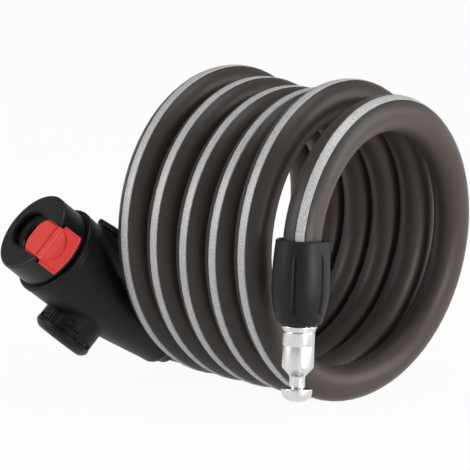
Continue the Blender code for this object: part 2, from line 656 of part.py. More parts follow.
def make_cylinder(finishes, frame):
    flange_bore = PLUG_RADIUS + PLUG_FLANGE + GAP
    flange_floor = BARREL_TOP - 1.6 * MM
    outline = [
        (PLUG_BORE, BARREL_FLOOR), (BARREL_RADIUS, BARREL_FLOOR), (BARREL_RADIUS, BARREL_TOP),
        (flange_bore, BARREL_TOP), (flange_bore, flange_floor), (PLUG_BORE, flange_floor)]
    barrel = place("cylinder_barrel", turned("cylinder_barrel", outline), finishes["chrome"], frame)
    dimple = rod("barrel_dimple", PIN_RADIUS + GAP, BARREL_RADIUS - 1.2 * MM, BARREL_RADIUS + 2 * MM)
    cut(barrel, toward_rail(helper("barrel_dimple", dimple, frame), BARREL_PIN_HEIGHT))
    pin = rod("barrel_pin", PIN_RADIUS, BARREL_RADIUS - 0.9 * MM, CHASSIS_RADIUS - 1.0 * MM)
    toward_rail(place("barrel_pin", pin, finishes["steel"], frame), BARREL_PIN_HEIGHT)

    flange = PLUG_RADIUS + PLUG_FLANGE
    top = BARREL_TOP - GAP
    outline = [
        (0, top), (flange, top), (flange, flange_floor + GAP), (PLUG_RADIUS, flange_floor + GAP),
        (PLUG_RADIUS, BARREL_FLOOR + GAP), (STUB_RADIUS, BARREL_FLOOR + GAP), (STUB_RADIUS, STUB_END),
        (0, STUB_END)]
    plug = place("key_plug", turned("key_plug", outline, 24, hollow=False), finishes["brass"], frame)
    slots_top = flange_floor - 1.0 * MM
    low_wafer = slots_top - WAFER_PITCH * WAFERS
    keyway = block("keyway", (-KEYWAY_WIDTH / 2, -KEYWAY_HEIGHT / 2, low_wafer),
                   (KEYWAY_WIDTH / 2, KEYWAY_HEIGHT / 2, top + 1 * MM))
    cut(plug, helper("keyway", keyway, frame))
    half = WAFER_WIDTH / 2
    tall = math.sqrt(PLUG_RADIUS ** 2 - half ** 2) - GAP
    for count in range(WAFERS):
        low = slots_top - WAFER_PITCH * (count + 1) + GAP
        room = block("wafer_slot", (-half - GAP, -PLUG_DIAMETER, low - GAP),
                     (half + GAP, PLUG_DIAMETER, low + WAFER_THICK + GAP))
        cut(plug, helper(f"wafer_slot_{count + 1}", room, frame))
        plate = block("wafer", (-half, -tall, low), (half, tall, low + WAFER_THICK))
        wafer = place(f"wafer_{count + 1}", plate, finishes["brass"], frame)
        shift = (count % 3 - 1) * 0.5 * MM
        window = block("wafer_window", (-KEYWAY_WIDTH / 2 - GAP, -KEYWAY_HEIGHT / 4 + shift, low - 1 * MM),
                       (KEYWAY_WIDTH / 2 + GAP, KEYWAY_HEIGHT / 4 + shift, low + WAFER_THICK + 1 * MM))
        cut(wafer, helper(f"wafer_window_{count + 1}", window, frame))
    thread = rod("cam_screw_way", 1.0 * MM + GAP, STUB_END - 1 * MM, BARREL_FLOOR + 1.5 * MM, 12)
    cut(plug, helper("cam_screw_way", thread, frame))
    open_from = math.radians(35)
    ring = arc((0, 0), (CLIP_RADIUS, CLIP_RADIUS), open_from, math.tau - open_from, 18)
    inside = STUB_RADIUS + GAP
    ring += arc((0, 0), (inside, inside), math.tau - open_from, open_from, 18)
    clip = prism("plug_clip", ring, CLIP_FLOOR, CLIP_FLOOR + CLIP_THICK)
    place("plug_clip", clip, finishes["steel"], frame)


def make_cam(finishes, frame):
    """A spiral cam: turned by the key, its edge grows toward the latch's tab at a steady rate."""
    lobe = math.radians(100)
    steps = 10
    spiral = [-lobe * step / steps for step in range(steps + 1)]
    edge = [(CAM_RADIUS - CAM_RATE * turn) for turn in spiral]
    outline = [(r * math.cos(turn), r * math.sin(turn)) for turn, r in zip(spiral, edge)]
    outline += arc((0, 0), (CAM_RADIUS, CAM_RADIUS), -lobe - 0.05, -math.tau + 0.2, 16)
    cam = place("cam", prism("cam", outline, CAM_FLOOR, CAM_FLOOR + CAM_THICK), finishes["steel"], frame)
    shank = 1.0 * MM
    hole = rod("cam_hole", shank + GAP, CAM_FLOOR - 1 * MM, STUB_END, 12)
    cut(cam, helper("cam_hole", hole, frame))
    head = 2.0 * MM
    tip = BARREL_FLOOR + 1.2 * MM
    seat = SCREW_FLOOR + SCREW_HEAD_HEIGHT
    outline = [(0, tip), (shank, tip), (shank, seat), (head, seat), (head, SCREW_FLOOR), (0, SCREW_FLOOR)]
    place("cam_screw", turned("cam_screw", outline, 12, hollow=False), finishes["steel"], frame)


def make_latch(finishes, frame):
    slope = 1.1 * MM
    outline = [
        (LATCH_BACK, -LATCH_NEAR), (LATCH_BACK, -LATCH_FAR), (TIP, -LATCH_FAR), (TIP, -LATCH_NEAR + slope),
        (TIP + slope, -LATCH_NEAR)]
    plate = prism("latch", outline, -LATCH_HALF, SCREW_FLOOR + 0.8 * MM)
    latch = place("latch", plate, finishes["steel"], frame)
    tab = block("latch_tab", (TAB, -LATCH_NEAR, SCREW_FLOOR), (LATCH_BACK, TAB_SIDE, TAB_TOP))
    join(latch, helper("latch_tab", tab, frame))

    start = LATCH_BACK + GAP + SPRING_WIRE / 2
    run = SPRING_LENGTH - SPRING_WIRE
    middle = (SPRING_DIAMETER - SPRING_WIRE) / 2
    count = SPRING_CURLS * CURL_POINTS
    points = []
    for step in range(count + 1):
        turn = math.tau * step / CURL_POINTS
        side = SPRING_SIDE + middle * math.cos(turn)
        height = SPRING_HEIGHT + middle * math.sin(turn)
        points.append(Vector((start + run * step / count, side, height)))
    pitch_gap = run / SPRING_CURLS - SPRING_WIRE
    print(f"latch spring, least gap between curls {pitch_gap / MM:.2f} mm")
    place("latch_spring", tube("latch_spring", points, SPRING_WIRE / 2), finishes["steel"], frame)
    seat = LATCH_BACK + SPRING_LENGTH + 2 * GAP
    screw = rod("spring_screw", SPRING_DIAMETER / 2, seat, CHASSIS_RADIUS - 1.2 * MM)
    along_x(place("spring_screw", screw, finishes["steel"], frame), SPRING_SIDE, SPRING_HEIGHT)


# Lock head: bolt socket, bracket rail and cable anchor

def make_boss(finishes, frame):
    rim = BOSS_REACH - BOSS_RIM_THICK
    edge = 0.6 * MM
    inner = LINER_START + 0.4 * MM
    outline = [
        (COLLAR_BORE, BOSS_REACH), (BOSS_RADIUS - edge, BOSS_REACH), (BOSS_RADIUS, BOSS_REACH - edge),
        (BOSS_RADIUS, rim), (COLLAR_RADIUS, rim), (COLLAR_RADIUS, inner), (COLLAR_BORE, inner)]
    body = turned("socket_collar", outline, 36)
    collar = toward_boss(place("socket_collar", body, finishes["black"], frame))
    half_lug = math.radians(17)
    lug_height = 2.6 * MM
    for count in range(LUGS):
        middle = math.tau * (count + 0.35) / LUGS
        outer = arc((0, 0), (BOSS_RADIUS - 0.1 * MM,) * 2, middle - half_lug, middle + half_lug, 4)
        inside = COLLAR_RADIUS - 0.6 * MM
        inner_edge = arc((0, 0), (inside, inside), middle + half_lug, middle - half_lug, 4)
        lug = prism("collar_lug", outer + inner_edge, rim - lug_height, rim + 0.5 * MM)
        join(collar, toward_boss(helper(f"collar_lug_{count + 1}", lug, frame)))
    room = GAP
    heights = [(radius + room, height) for radius, height in chassis_outside()]
    clear = [(0, CHASSIS_TOP + room), *heights, (0, CHASSIS_FOOT - room)]
    cut(collar, helper("chassis_room", turned("chassis_room", clear, hollow=False), frame))

    end = SEAT - GAP
    lead = 0.7 * MM
    outline = [
        (BOLT_BORE + lead, end), (LINER_RADIUS, end), (LINER_RADIUS, LINER_START), (BOLT_BORE, LINER_START),
        (BOLT_BORE, end - lead)]
    toward_boss(place("socket_liner", turned("socket_liner", outline, 24), finishes["steel"], frame))


def make_rail(finishes, frame):
    corner = 3.0 * MM
    half = RAIL_WIDTH / 2

    def rounded(low, high):
        ends = ((half - corner, high - corner, 0), (corner - half, high - corner, 1),
                (corner - half, low + corner, 2), (half - corner, low + corner, 3))
        points = []
        for x, y, quarter in ends:
            points += arc((x, y), (corner, corner), quarter * math.pi / 2, (quarter + 1) * math.pi / 2, 4)
        return points

    # The rail is drawn flat, its own Y up the head, and is turned to face away from the boss
    outline = [(x, -y) for x, y in rounded(RAIL_BOTTOM, RAIL_TOP)]
    plate = prism("bracket_rail", outline, RAIL_REACH - RAIL_THICK, RAIL_REACH)
    rail = toward_rail(place("bracket_rail", plate, finishes["black"], frame))
    web_half = RAIL_WEB / 2
    inset = 2.0 * MM
    web = block("rail_web", (-web_half, inset - RAIL_TOP, 9 * MM),
                (web_half, -inset - RAIL_BOTTOM, RAIL_REACH - 0.5 * MM))
    join(rail, toward_rail(helper("rail_web", web, frame)))
    outside = [(radius + GAP, height) for height, radius in shell_outside() if height >= -LEAD_DEPTH]
    room = turned("shell_room", [(0, outside[0][1]), *outside, (0, outside[-1][1])], hollow=False)
    cut(rail, helper("shell_room", room, frame))
    head_radius = 2.7 * MM
    head_height = 1.5 * MM
    for count, height in enumerate(RAIL_SCREWS):
        above = RAIL_REACH + 1 * MM
        seat = RAIL_REACH - head_height
        hole_outline = [
            (0, above), (head_radius + GAP, above), (head_radius + GAP, seat - GAP),
            (SCREW_RADIUS + GAP, seat - GAP), (SCREW_RADIUS + GAP, 5 * MM), (0, 5 * MM)]
        hole = turned("rail_hole", hole_outline, SMALL_ROUND, hollow=False)
        cut(rail, toward_rail(helper(f"rail_hole_{count + 1}", hole, frame), height))
        top = RAIL_REACH - GAP
        tip = screw_tip(height)
        outline = [
            (0, top), (head_radius, top), (head_radius, seat), (SCREW_RADIUS, seat), (SCREW_RADIUS, tip),
            (0, tip)]
        shape = turned("rail_screw", outline, 16, hollow=False)
        toward_rail(place(f"rail_screw_{count + 1}", shape, finishes["steel"], frame), height)


def make_anchor(finishes, frame):
    groove = ANCHOR_NECK_RADIUS - 1.1 * MM
    half = PIN_RADIUS + GAP
    cup_foot = ANCHOR_FLOOR - ANCHOR_CUP
    outline = [
        (CORE_BORE, ANCHOR_TOP), (ANCHOR_NECK_RADIUS, ANCHOR_TOP), (ANCHOR_NECK_RADIUS, PIN_HEIGHT + half),
        (groove, PIN_HEIGHT + half), (groove, PIN_HEIGHT - half), (ANCHOR_NECK_RADIUS, PIN_HEIGHT - half),
        (ANCHOR_NECK_RADIUS, ANCHOR_SHOULDER), (ANCHOR_RADIUS, ANCHOR_SHOULDER), (ANCHOR_RADIUS, cup_foot),
        (BORE_RADIUS, cup_foot), (BORE_RADIUS, ANCHOR_FLOOR), (CORE_BORE, ANCHOR_FLOOR)]
    place("cable_anchor", turned("cable_anchor", outline, 24), finishes["zinc"], frame)
    reach = math.sqrt(FOOT_RADIUS ** 2 - (PIN_SIDE + PIN_RADIUS) ** 2) - 0.3 * MM
    pin = place("anchor_pin", rod("anchor_pin", PIN_RADIUS, -reach, reach, 12), finishes["steel"], frame)
    along_x(pin, PIN_SIDE, PIN_HEIGHT)


def main():
    clear_scene()
    finishes = {
        "jacket": finish("smoked_jacket", (0.062, 0.052, 0.048), 0.32),
        "rope": finish("steel_rope", (0.55, 0.55, 0.56), 0.4, 1.0),
        "black": finish("black_plastic", (0.018, 0.018, 0.02), 0.5),
        "red": finish("red_plastic", (0.8, 0.065, 0.055), 0.4),
        "steel": finish("bright_steel", (0.72, 0.72, 0.73), 0.22, 1.0),
        "chrome": finish("chrome", (0.8, 0.8, 0.82), 0.1, 1.0),
        "brass": finish("brass", (0.72, 0.55, 0.28), 0.3, 1.0),
        "zinc": finish("cast_zinc", (0.48, 0.48, 0.5), 0.45, 1.0),
    }
    head = place("lock_head", None)
    head.matrix_world = head_matrix()
    bolt_end = place("bolt_end", None)
    bolt_end.matrix_world = bolt_matrix()
    make_cable(finishes)
    make_bolt_end(finishes, bolt_end)
    make_shell(finishes, head)
    make_cap(finishes, head)
    make_cover(finishes, head)
    make_chassis(finishes, head)
    make_cylinder(finishes, head)
    make_cam(finishes, head)
    make_latch(finishes, head)
    make_boss(finishes, head)
    make_rail(finishes, head)
    make_anchor(finishes, head)


main()
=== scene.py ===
import json
import math

import bmesh
import bpy
from bpy.props import FloatProperty, FloatVectorProperty, IntProperty, PointerProperty
from bpy.types import Operator, Panel, PropertyGroup
from mathutils import Matrix, Quaternion, Vector


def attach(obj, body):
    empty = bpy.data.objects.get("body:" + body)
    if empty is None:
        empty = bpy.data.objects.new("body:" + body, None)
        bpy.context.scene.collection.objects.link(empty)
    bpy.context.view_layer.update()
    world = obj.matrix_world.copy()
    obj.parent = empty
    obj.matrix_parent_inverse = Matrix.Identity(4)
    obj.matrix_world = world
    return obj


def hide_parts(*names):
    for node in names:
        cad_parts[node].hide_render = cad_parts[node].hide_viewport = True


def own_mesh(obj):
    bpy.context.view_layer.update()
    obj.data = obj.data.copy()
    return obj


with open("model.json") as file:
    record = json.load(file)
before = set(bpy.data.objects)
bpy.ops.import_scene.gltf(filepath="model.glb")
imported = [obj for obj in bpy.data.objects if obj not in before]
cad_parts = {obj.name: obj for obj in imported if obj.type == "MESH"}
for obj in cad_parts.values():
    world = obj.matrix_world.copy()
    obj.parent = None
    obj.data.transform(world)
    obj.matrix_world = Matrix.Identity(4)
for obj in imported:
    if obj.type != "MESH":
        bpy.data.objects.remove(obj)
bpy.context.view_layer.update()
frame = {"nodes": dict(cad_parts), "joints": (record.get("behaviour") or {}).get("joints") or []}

bl_info = {
    "name": "Coiled Cable Lock",
    "version": (1, 0, 0),
    "blender": (4, 5, 0),
    "location": "3D View > Sidebar > Cable Lock",
    "description": "Finished pieces, materials and studio for a coiled cable lock",
    "category": "Object",
}

JOINTS = {joint["name"]: joint for joint in frame["joints"]}
MM = 0.001
GAP = 0.3 * MM

# The cable's route, as the solids have it
ORIGIN_TURN = 3
FIRST_TURN = 0.10
LAST_TURN = 5.702
OPEN_FROM = 4.7
OPEN_RATE = 6.86 * MM
LEAN = 0.6 * MM  # per turn, of the coil's far side and near side
FAR_LEAN_END = 5.25
NEAR_LEAN_START = 3.25
BOLT_WAY = (0.054, -0.113, -1.0)
TOP_RISE = (2.2 * MM, -0.5 * MM, -2.3 * MM, -1.5 * MM, 2.6 * MM, -0.9 * MM)
COIL_HEIGHT = 50.605 * MM
KEY_PIVOT = 20.0 * MM  # key joint over the bolt socket's axis
LEAD_DEPTH = 30.2 * MM
TAIL_DEPTH = 36.7 * MM
JACKET_TOP = -18.0 * MM  # in the lock head
JACKET_FOOT = 16.3 * MM  # in the bolt sleeve
RINGS_A_TURN = 72
LEAD_STEPS = 16  # along the bend into the head
END_STEPS = 4  # along the straight at either end
JACKET_SIDES = 30  # faces round the jacket beside the stripe
# Where the painted glow on the jacket is brightest:
JACKET_GLOW_AT = 0.79  # of the way round the jacket from the stripe's first seam, by count of faces
STRIPE_SEAM = 0.22 * MM
TWIST_FROM = 5.15  # turns, where the stripe starts to turn toward the sleeve
TWIST_RUN = 0.5  # turns

# (height, radius) up the head casing in millimetres, for a rim radius of SHELL_RIM
SHELL_RIM = 16.2
SHELL_WIDTHS = (
    (-36.7, 7.7), (-34.8, 7.9), (-33.6, 8.2), (-32.9, 9.5), (-31.0, 9.9),
    (-21.0, 11.7), (-12.5, 13.2), (0.0, 14.9), (11.3, 15.75), (22.0, 16.05),
)
TAIL_STEPS = 40  # for the length of the tail's bend
LIP_DROP = math.radians(55)  # slope of the dust cover's lip and of its seat

# Cuts in each third of the boss: from and to, and the slope of those ends, in degrees,
# then how far the cut runs down from the rim's band, and its depth, in millimetres
BOSS_CUTS = (
    (50, 68, 2.0, 20, 1.3),  # bayonet way, from the foot
    (6, 68, 2.0, 2.4, 1.3),  # its leg along the band
    (80, 114, 2.0, 1.3, 0.9),  # stop
    (72, 74.5, 1.2, 20, 0.5),  # mould seam
)
BOSS_CUT_SLOPE = 0.25  # millimetres, at the upper and lower ends
DIMPLE_TURN = 30  # degrees
DIMPLE_DROP = 4.0  # millimetres below the band
DIMPLE_RADIUS = 1.1  # millimetres
DIMPLE_DEPTH = 0.25  # millimetres

# Where the photograph's middle falls, and how far off the camera stands
AIM = (-0.01654, -0.01130, 0.04993)
VIEW_RIGHT = (0.7499, 0.6616, 0.0)
VIEW_UP = (-0.1423, 0.1613, 0.9766)
VIEW_DISTANCE = 0.850
SENSOR_WIDTH = 36.0
FLOOR_HEIGHT = -1.7 * MM
FLOOR_GLOW = 0.95  # share of the floor that the camera sees as plain white
FLOOR_FLAT = [(0, 0), (0.4, 0), (1.5, 0), (3.0, 0)]
SWEEP_CENTRE = (5.0, 1.2)
SWEEP_RADIUS = 1.2
LIGHT_AIM = (0, 0, 0.05)

# Name, place, width and height, and watts
LIGHTS = (
    ("right_light", (0.80, 0.68, 0.42), (0.5, 0.8), 6.5),
    ("end_light", (0.31, -0.06, 0.09), (0.10, 0.12), 0.5),
    ("left_light", (-0.6, -0.85, 0.55), (0.4, 0.7), 6.2),
    ("top_light", (0.1, 0.15, 1.3), (0.7, 0.7), 5.0),
)


def length_setting(name, description, default):
    return FloatProperty(name=name, description=description, default=default, min=0.0, unit="LENGTH")


def angle_setting(name, description, degrees):
    return FloatProperty(name=name, description=description, default=math.radians(degrees), subtype="ANGLE")


def colour_setting(name, description, default):
    return FloatVectorProperty(name=name, description=description, default=default, size=3, min=0.0, max=1.0,
                               subtype="COLOR")


class CableSettings(PropertyGroup):
    diameter: length_setting("Cable diameter", "Outside of the PVC jacket", 12.0 * MM)
    coil_radius: length_setting("Coil radius", "From the coil's axis to the middle of the cable", 46.2 * MM)
    turn_gap: length_setting("Gap between turns", "Clear space between neighbouring turns", 1.0 * MM)
    stripe_width: length_setting("Stripe width", "Reflective stripe on the outside of the coil", 3.2 * MM)
    stripe_groove: length_setting("Stripe groove", "Depth of the seam at each edge of the stripe", 0.3 * MM)
    stripe_twist: angle_setting("Stripe twist", "Turn of the stripe just above the bolt sleeve", -30)


class BoltEndSettings(PropertyGroup):
    sleeve_start: length_setting("Sleeve start", "From the end of the coil to the sleeve", 1.5 * MM)
    sleeve_length: length_setting("Sleeve length", "Moulded sleeve over the cable's end", 26.6 * MM)
    sleeve_radius: length_setting("Sleeve radius", "At the sleeve's ends", 8.4 * MM)
    sleeve_belly: length_setting("Sleeve belly", "How far the sleeve swells in the middle", 0.8 * MM)
    grooves: IntProperty(name="Grooves", description="Grip grooves round the sleeve", default=6, min=0)
    groove_turn: angle_setting("Groove turn", "Where the first groove lies", -1.0)
    bolt_diameter: length_setting("Bolt diameter", "Body of the bolt", 10.2 * MM)
    flange_diameter: length_setting("Flange diameter", "Ring that meets the sleeve", 11.4 * MM)
    neck_diameter: length_setting("Neck diameter", "Where the latch closes", 5.0 * MM)
    head_diameter: length_setting("Bolt head diameter", "Domed end of the bolt", 9.7 * MM)


class HeadSettings(PropertyGroup):
    cap_radius: length_setting("Cap radius", "Cap that holds the dust cover", 14.5 * MM)
    face_height: length_setting("Cap face", "Over the bolt socket's axis", 34.4 * MM)
    rim_radius: length_setting("Rim radius", "Head casing just under the cap", 16.2 * MM)
    slot_half: length_setting("Slot half width", "Key slot under the dust cover", 6.6 * MM)
    cover_half: length_setting("Cover half width", "Dust cover between its runners", 6.3 * MM)
    lip_half: length_setting("Lip half width", "Thumb lip of the dust cover", 7.5 * MM)
    boss_reach: length_setting("Boss reach", "End of the bolt socket from the head's axis", 23.0 * MM)
    boss_radius: length_setting("Boss radius", "Rim of the bolt socket", 10.5 * MM)
    rail_reach: length_setting("Rail reach", "Carrying rail from the head's axis", 18.6 * MM)
    rail_width: length_setting("Rail width", "Carrying rail's plate", 14.0 * MM)


class FinishSettings(PropertyGroup):
    # The two jacket colours are painted light and shade: the first is the lighter, browner painted glow on
    # one side of the turns, the second the darker painted shade by the stripe and inside.
    jacket: colour_setting("Jacket", "Smoky PVC on the sides of the turns", (0.064, 0.048, 0.042))
    jacket_painted_shade: colour_setting("Jacket, deep", "Darker PVC by the stripe and inside", (0.038, 0.034, 0.031))
    stripe: colour_setting("Stripe", "Reflective stripe", (0.42, 0.42, 0.42))
    black: colour_setting("Black plastic", "Moulded casing and sleeve", (0.0065, 0.0065, 0.0072))
    red: colour_setting("Red plastic", "Dust cover", (0.78, 0.062, 0.052))
    steel: colour_setting("Bright steel", "Plated bolt and fittings", (0.68, 0.68, 0.68))
    brass: colour_setting("Brass", "Key plug and wafers", (0.72, 0.55, 0.28))
    zinc: colour_setting("Cast zinc", "Chassis and cable anchor", (0.46, 0.46, 0.48))


class StudioSettings(PropertyGroup):
    lens: FloatProperty(name="Lens", description="Focal length on a 36 mm sensor", default=192.7,
                        unit="CAMERA")
    floor: colour_setting("Floor", "Pale paper sweep", (0.70, 0.70, 0.70))
    room_light: FloatProperty(name="Room light", description="Strength of the light from all round",
                              default=0.26)


class CableLockSettings(PropertyGroup):
    cable: PointerProperty(type=CableSettings)
    bolt_end: PointerProperty(type=BoltEndSettings)
    head: PointerProperty(type=HeadSettings)
    finish: PointerProperty(type=FinishSettings)
    studio: PointerProperty(type=StudioSettings)


def settings():
    return bpy.context.scene.cable_lock


# Materials

class Finish:
    """A material under construction: its shader, and the textures that give it grain, wear, gloss and
    painted light and shade.
    """

    def __init__(self, name, roughness, metallic=0.0):
        self.material = bpy.data.materials.new(name)
        self.material.use_nodes = True
        self.tree = self.material.node_tree
        self.shader = self.tree.nodes["Principled BSDF"]
        self.places = self.tree.nodes.new("ShaderNodeTexCoord")
        self.set("Roughness", roughness)
        self.set("Metallic", metallic)

    def set(self, socket, value):
        self.shader.inputs[socket].default_value = value

    def join(self, output, socket):
        self.tree.links.new(output, self.shader.inputs[socket])

    def feed(self, value, socket):
        """Links a texture to a socket, or sets a plain value on it."""
        if isinstance(value, bpy.types.NodeSocket):
            self.tree.links.new(value, socket)
        else:
            socket.default_value = value

    def node(self, kind, values, **sockets):
        made = self.tree.nodes.new(kind)
        for key, value in values.items():
            setattr(made, key, value)
        for key, value in sockets.items():
            self.feed(value, made.inputs[key.replace("_", " ")])
        return made

    def reckoned(self, operation, *values):
        """A sum, product or other step on textures and numbers."""
        made = self.node("ShaderNodeMath", {"operation": operation})
        for value, socket in zip(values, made.inputs):
            self.feed(value, socket)
        return made.outputs[0]

    def place(self, stretch=(1, 1, 1), source="Object"):
        """Texture places, drawn out along an axis by a stretch under one."""
        made = self.node("ShaderNodeMapping", {}, Vector=self.places.outputs[source], Scale=stretch)
        return made.outputs[0]

    def noise(self, size, detail=3.0, rough=0.55, place=None):
        """Noise whose features are about a size in metres."""
        return self.node("ShaderNodeTexNoise", {}, Vector=place or self.places.outputs["Object"],
                         Scale=1 / size, Detail=detail, Roughness=rough).outputs["Fac"]

    def spread(self, value, low, high, from_low=0.3, from_high=0.7):
        """A value between two ends, from a texture between two others."""
        made = self.node("ShaderNodeMapRange", {}, Value=value, From_Min=from_low, From_Max=from_high,
                         To_Min=low, To_Max=high)
        return made.outputs["Result"]

    def shades(self, value, *stops):
        """Colours along a texture's value, from (place, colour) stops."""
        ramp = self.node("ShaderNodeValToRGB", {}, Fac=value)
        while len(ramp.color_ramp.elements) < len(stops):
            ramp.color_ramp.elements.new(0.5)
        for element, (place, colour) in zip(ramp.color_ramp.elements, stops):
            element.position = place
            element.color = (*colour, 1)
        return ramp.outputs["Color"]

    def total(self, first, second, share):
        """One texture plus a share of another."""
        return self.reckoned("ADD", first, self.reckoned("MULTIPLY", second, share))

    def bump(self, height, depth, strength):
        made = self.node("ShaderNodeBump", {}, Height=height, Strength=strength, Distance=depth)
        self.join(made.outputs["Normal"], "Normal")


def scaled(colour, factor):
    return tuple(min(1.0, part * factor) for part in colour)


def kept(name, maker):
    """A material by name, made the first time that it is asked for."""
    return bpy.data.materials.get(name) or maker(name)


def jacket_pvc(name):
    """Smoky PVC: painted shade by the stripe, a painted brown glow of light along one side, with the rope's
    lay just showing.
    """
    colours = settings().finish
    made = Finish(name, 0.4)
    lay = made.node("ShaderNodeTexWave", {"bands_direction": "DIAGONAL", "wave_profile": "SIN"},
                    Vector=made.place((230, 5, 1), "UV"), Scale=0.28, Distortion=0.7, Detail=1.0)
    cloud = made.total(made.noise(9 * MM, 4.0), lay.outputs["Fac"], 0.22)
    # Painted light: the colour is lighter and browner near one place round the jacket, a painted glow of
    # light through the PVC, and darker elsewhere as painted shade.
    round_it = made.node("ShaderNodeSeparateXYZ", {}, Vector=made.places.outputs["UV"]).outputs["Y"]
    away = made.reckoned("ABSOLUTE", made.reckoned("SUBTRACT", round_it, JACKET_GLOW_AT))
    painted_glow = made.spread(away, 1.0, 0.0, 0.02, 0.18)
    glow_and_cloud = made.total(painted_glow, cloud, 0.25)
    made.join(made.shades(glow_and_cloud, (0.08, colours.jacket_painted_shade), (0.95, colours.jacket),
                          (1.0, scaled(colours.jacket, 1.08))), "Base Color")
    fine = made.noise(0.5 * MM, 3.0)
    made.join(made.spread(made.total(fine, cloud, 0.4), 0.34, 0.46, 0.4, 1.0), "Roughness")
    drawn = made.noise(1.0 * MM, 2.0, place=made.place((0.04, 60 * MM, 1), "UV"))
    made.bump(made.total(fine, drawn, 0.8), 0.02 * MM, 0.35)
    made.set("Specular IOR Level", 0.25)
    made.set("Sheen Weight", 0.05)
    made.set("Sheen Roughness", 0.35)
    made.set("Sheen Tint", (1.0, 0.75, 0.65, 1))
    made.set("Subsurface Weight", 0.5)
    made.set("Subsurface Radius", (1.0, 0.6, 0.5))
    made.set("Subsurface Scale", 4 * MM)
    return made.material


def reflective_stripe(name):
    """Woven reflective tape: light grey with a fine sparkle of glass beads."""
    grey = settings().finish.stripe
    made = Finish(name, 0.5)
    beads = made.noise(0.35 * MM, 2.0, 0.7)
    weave = made.node("ShaderNodeTexVoronoi", {}, Vector=made.places.outputs["Object"],
                      Scale=1 / (0.42 * MM))
    grain = made.total(beads, weave.outputs["Distance"], 0.35)
    made.join(made.shades(grain, (0.40, scaled(grey, 0.70)), (0.62, grey), (0.86, scaled(grey, 1.45))),
              "Base Color")
    made.join(made.spread(beads, 0.36, 0.60), "Roughness")
    made.bump(grain, 0.06 * MM, 0.5)
    made.set("Metallic", 0.15)
    return made.material


def moulded_black(name, roughness=0.44, shine=0.18):
    """Black plastic from a spark-finished mould."""
    black = settings().finish.black
    made = Finish(name, roughness)
    cloud = made.noise(7 * MM, 4.0)
    spark = made.noise(0.28 * MM, 3.0, 0.65)
    made.join(made.shades(cloud, (0.35, scaled(black, 0.8)), (0.65, scaled(black, 1.25))), "Base Color")
    gloss = made.total(spark, cloud, 0.5)
    made.join(made.spread(gloss, roughness - 0.08, roughness + 0.1, 0.5, 1.0), "Roughness")
    made.bump(spark, 0.03 * MM, 0.45)
    made.set("Specular IOR Level", shine)
    return made.material


def smooth_black(name):
    return moulded_black(name, 0.40, 0.30)


def grip_black(name):
    return moulded_black(name, 0.44, 0.22)


def red_cover(name):
    """Red plastic with a faint satin mould finish, a little paler where thumbs have rubbed it."""
    red = settings().finish.red
    made = Finish(name, 0.4)
    cloud = made.noise(5 * MM, 4.0)
    spark = made.noise(0.25 * MM, 2.0, 0.6)
    rubbed = (red[0], red[1] * 1.35, red[2] * 1.4)
    made.join(made.shades(cloud, (0.3, scaled(red, 0.93)), (0.55, red), (0.8, rubbed)), "Base Color")
    made.join(made.spread(made.total(spark, cloud, 0.6), 0.24, 0.36, 0.5, 1.1), "Roughness")
    made.bump(spark, 0.02 * MM, 0.35)
    made.set("Subsurface Weight", 0.06)
    made.set("Subsurface Radius", (1.0, 0.35, 0.25))
    made.set("Subsurface Scale", 0.8 * MM)
    made.set("Specular IOR Level", 0.35)
    return made.material


def turned_steel(name, colour=None, rough=0.25):
    """Plated steel with the fine rings of the lathe, and soft streaks along it that vary its gloss and are
    painted darker and lighter in its colour as a painted reflection of the studio.
    """
    bright = colour or settings().finish.steel
    made = Finish(name, rough, 1.0)
    rings = made.noise(0.22 * MM, 3.0, 0.6, place=made.place((0.02, 0.02, 1)))
    # Painted reflection: streaks along the steel, darker and lighter in its colour, stand in for reflections
    # of the studio's dark and light surroundings.
    reflection_and_gloss_streaks = made.noise(2.2 * MM, 5.0, 0.7, place=made.place((1.6, 1.6, 0.12)))
    made.join(made.shades(reflection_and_gloss_streaks, (0.30, scaled(bright, 0.86)), (0.5, bright), (0.75, scaled(bright, 1.1))),
              "Base Color")
    made.join(made.spread(made.total(rings, reflection_and_gloss_streaks, 0.8), rough - 0.05, rough + 0.13, 0.6, 1.3), "Roughness")
    made.bump(rings, 0.012 * MM, 0.35)
    return made.material


def chrome_plate(name):
    return turned_steel(name, (0.84, 0.84, 0.86), 0.13)


def nickel_plate(name):
    return turned_steel(name, (0.78, 0.75, 0.70), 0.22)


def turned_brass(name):
    return turned_steel(name, settings().finish.brass, 0.26)


def cast_zinc(name):
    """Die-cast zinc with a dull, slightly pitted skin."""
    zinc = settings().finish.zinc
    made = Finish(name, 0.48, 1.0)
    pits = made.noise(0.6 * MM, 4.0, 0.65)
    cloud = made.noise(5 * MM, 3.0)
    made.join(made.shades(cloud, (0.3, scaled(zinc, 0.8)), (0.7, scaled(zinc, 1.1))), "Base Color")
    made.join(made.spread(pits, 0.38, 0.58), "Roughness")
    made.bump(pits, 0.05 * MM, 0.5)
    return made.material


def rope_strand(name):
    """Galvanised rope: strands that wind round the core, painted darker in the grooves between them as
    painted shade.
    """
    made = Finish(name, 0.38, 1.0)
    wave = made.node("ShaderNodeTexWave", {"bands_direction": "DIAGONAL"},
                     Vector=made.places.outputs["Object"], Scale=180.0, Distortion=1.5, Detail=2.0)
    wires_and_groove_shade = wave.outputs["Fac"]
    # Painted shade: the same waves that raise the strands make their colour darker in the grooves.
    made.join(made.shades(wires_and_groove_shade, (0.2, (0.25, 0.25, 0.26)), (0.7, (0.58, 0.58, 0.60))), "Base Color")
    made.join(made.spread(made.noise(0.8 * MM), 0.3, 0.5), "Roughness")
    made.bump(wires_and_groove_shade, 0.25 * MM, 0.6)
    return made.material


# Meshes

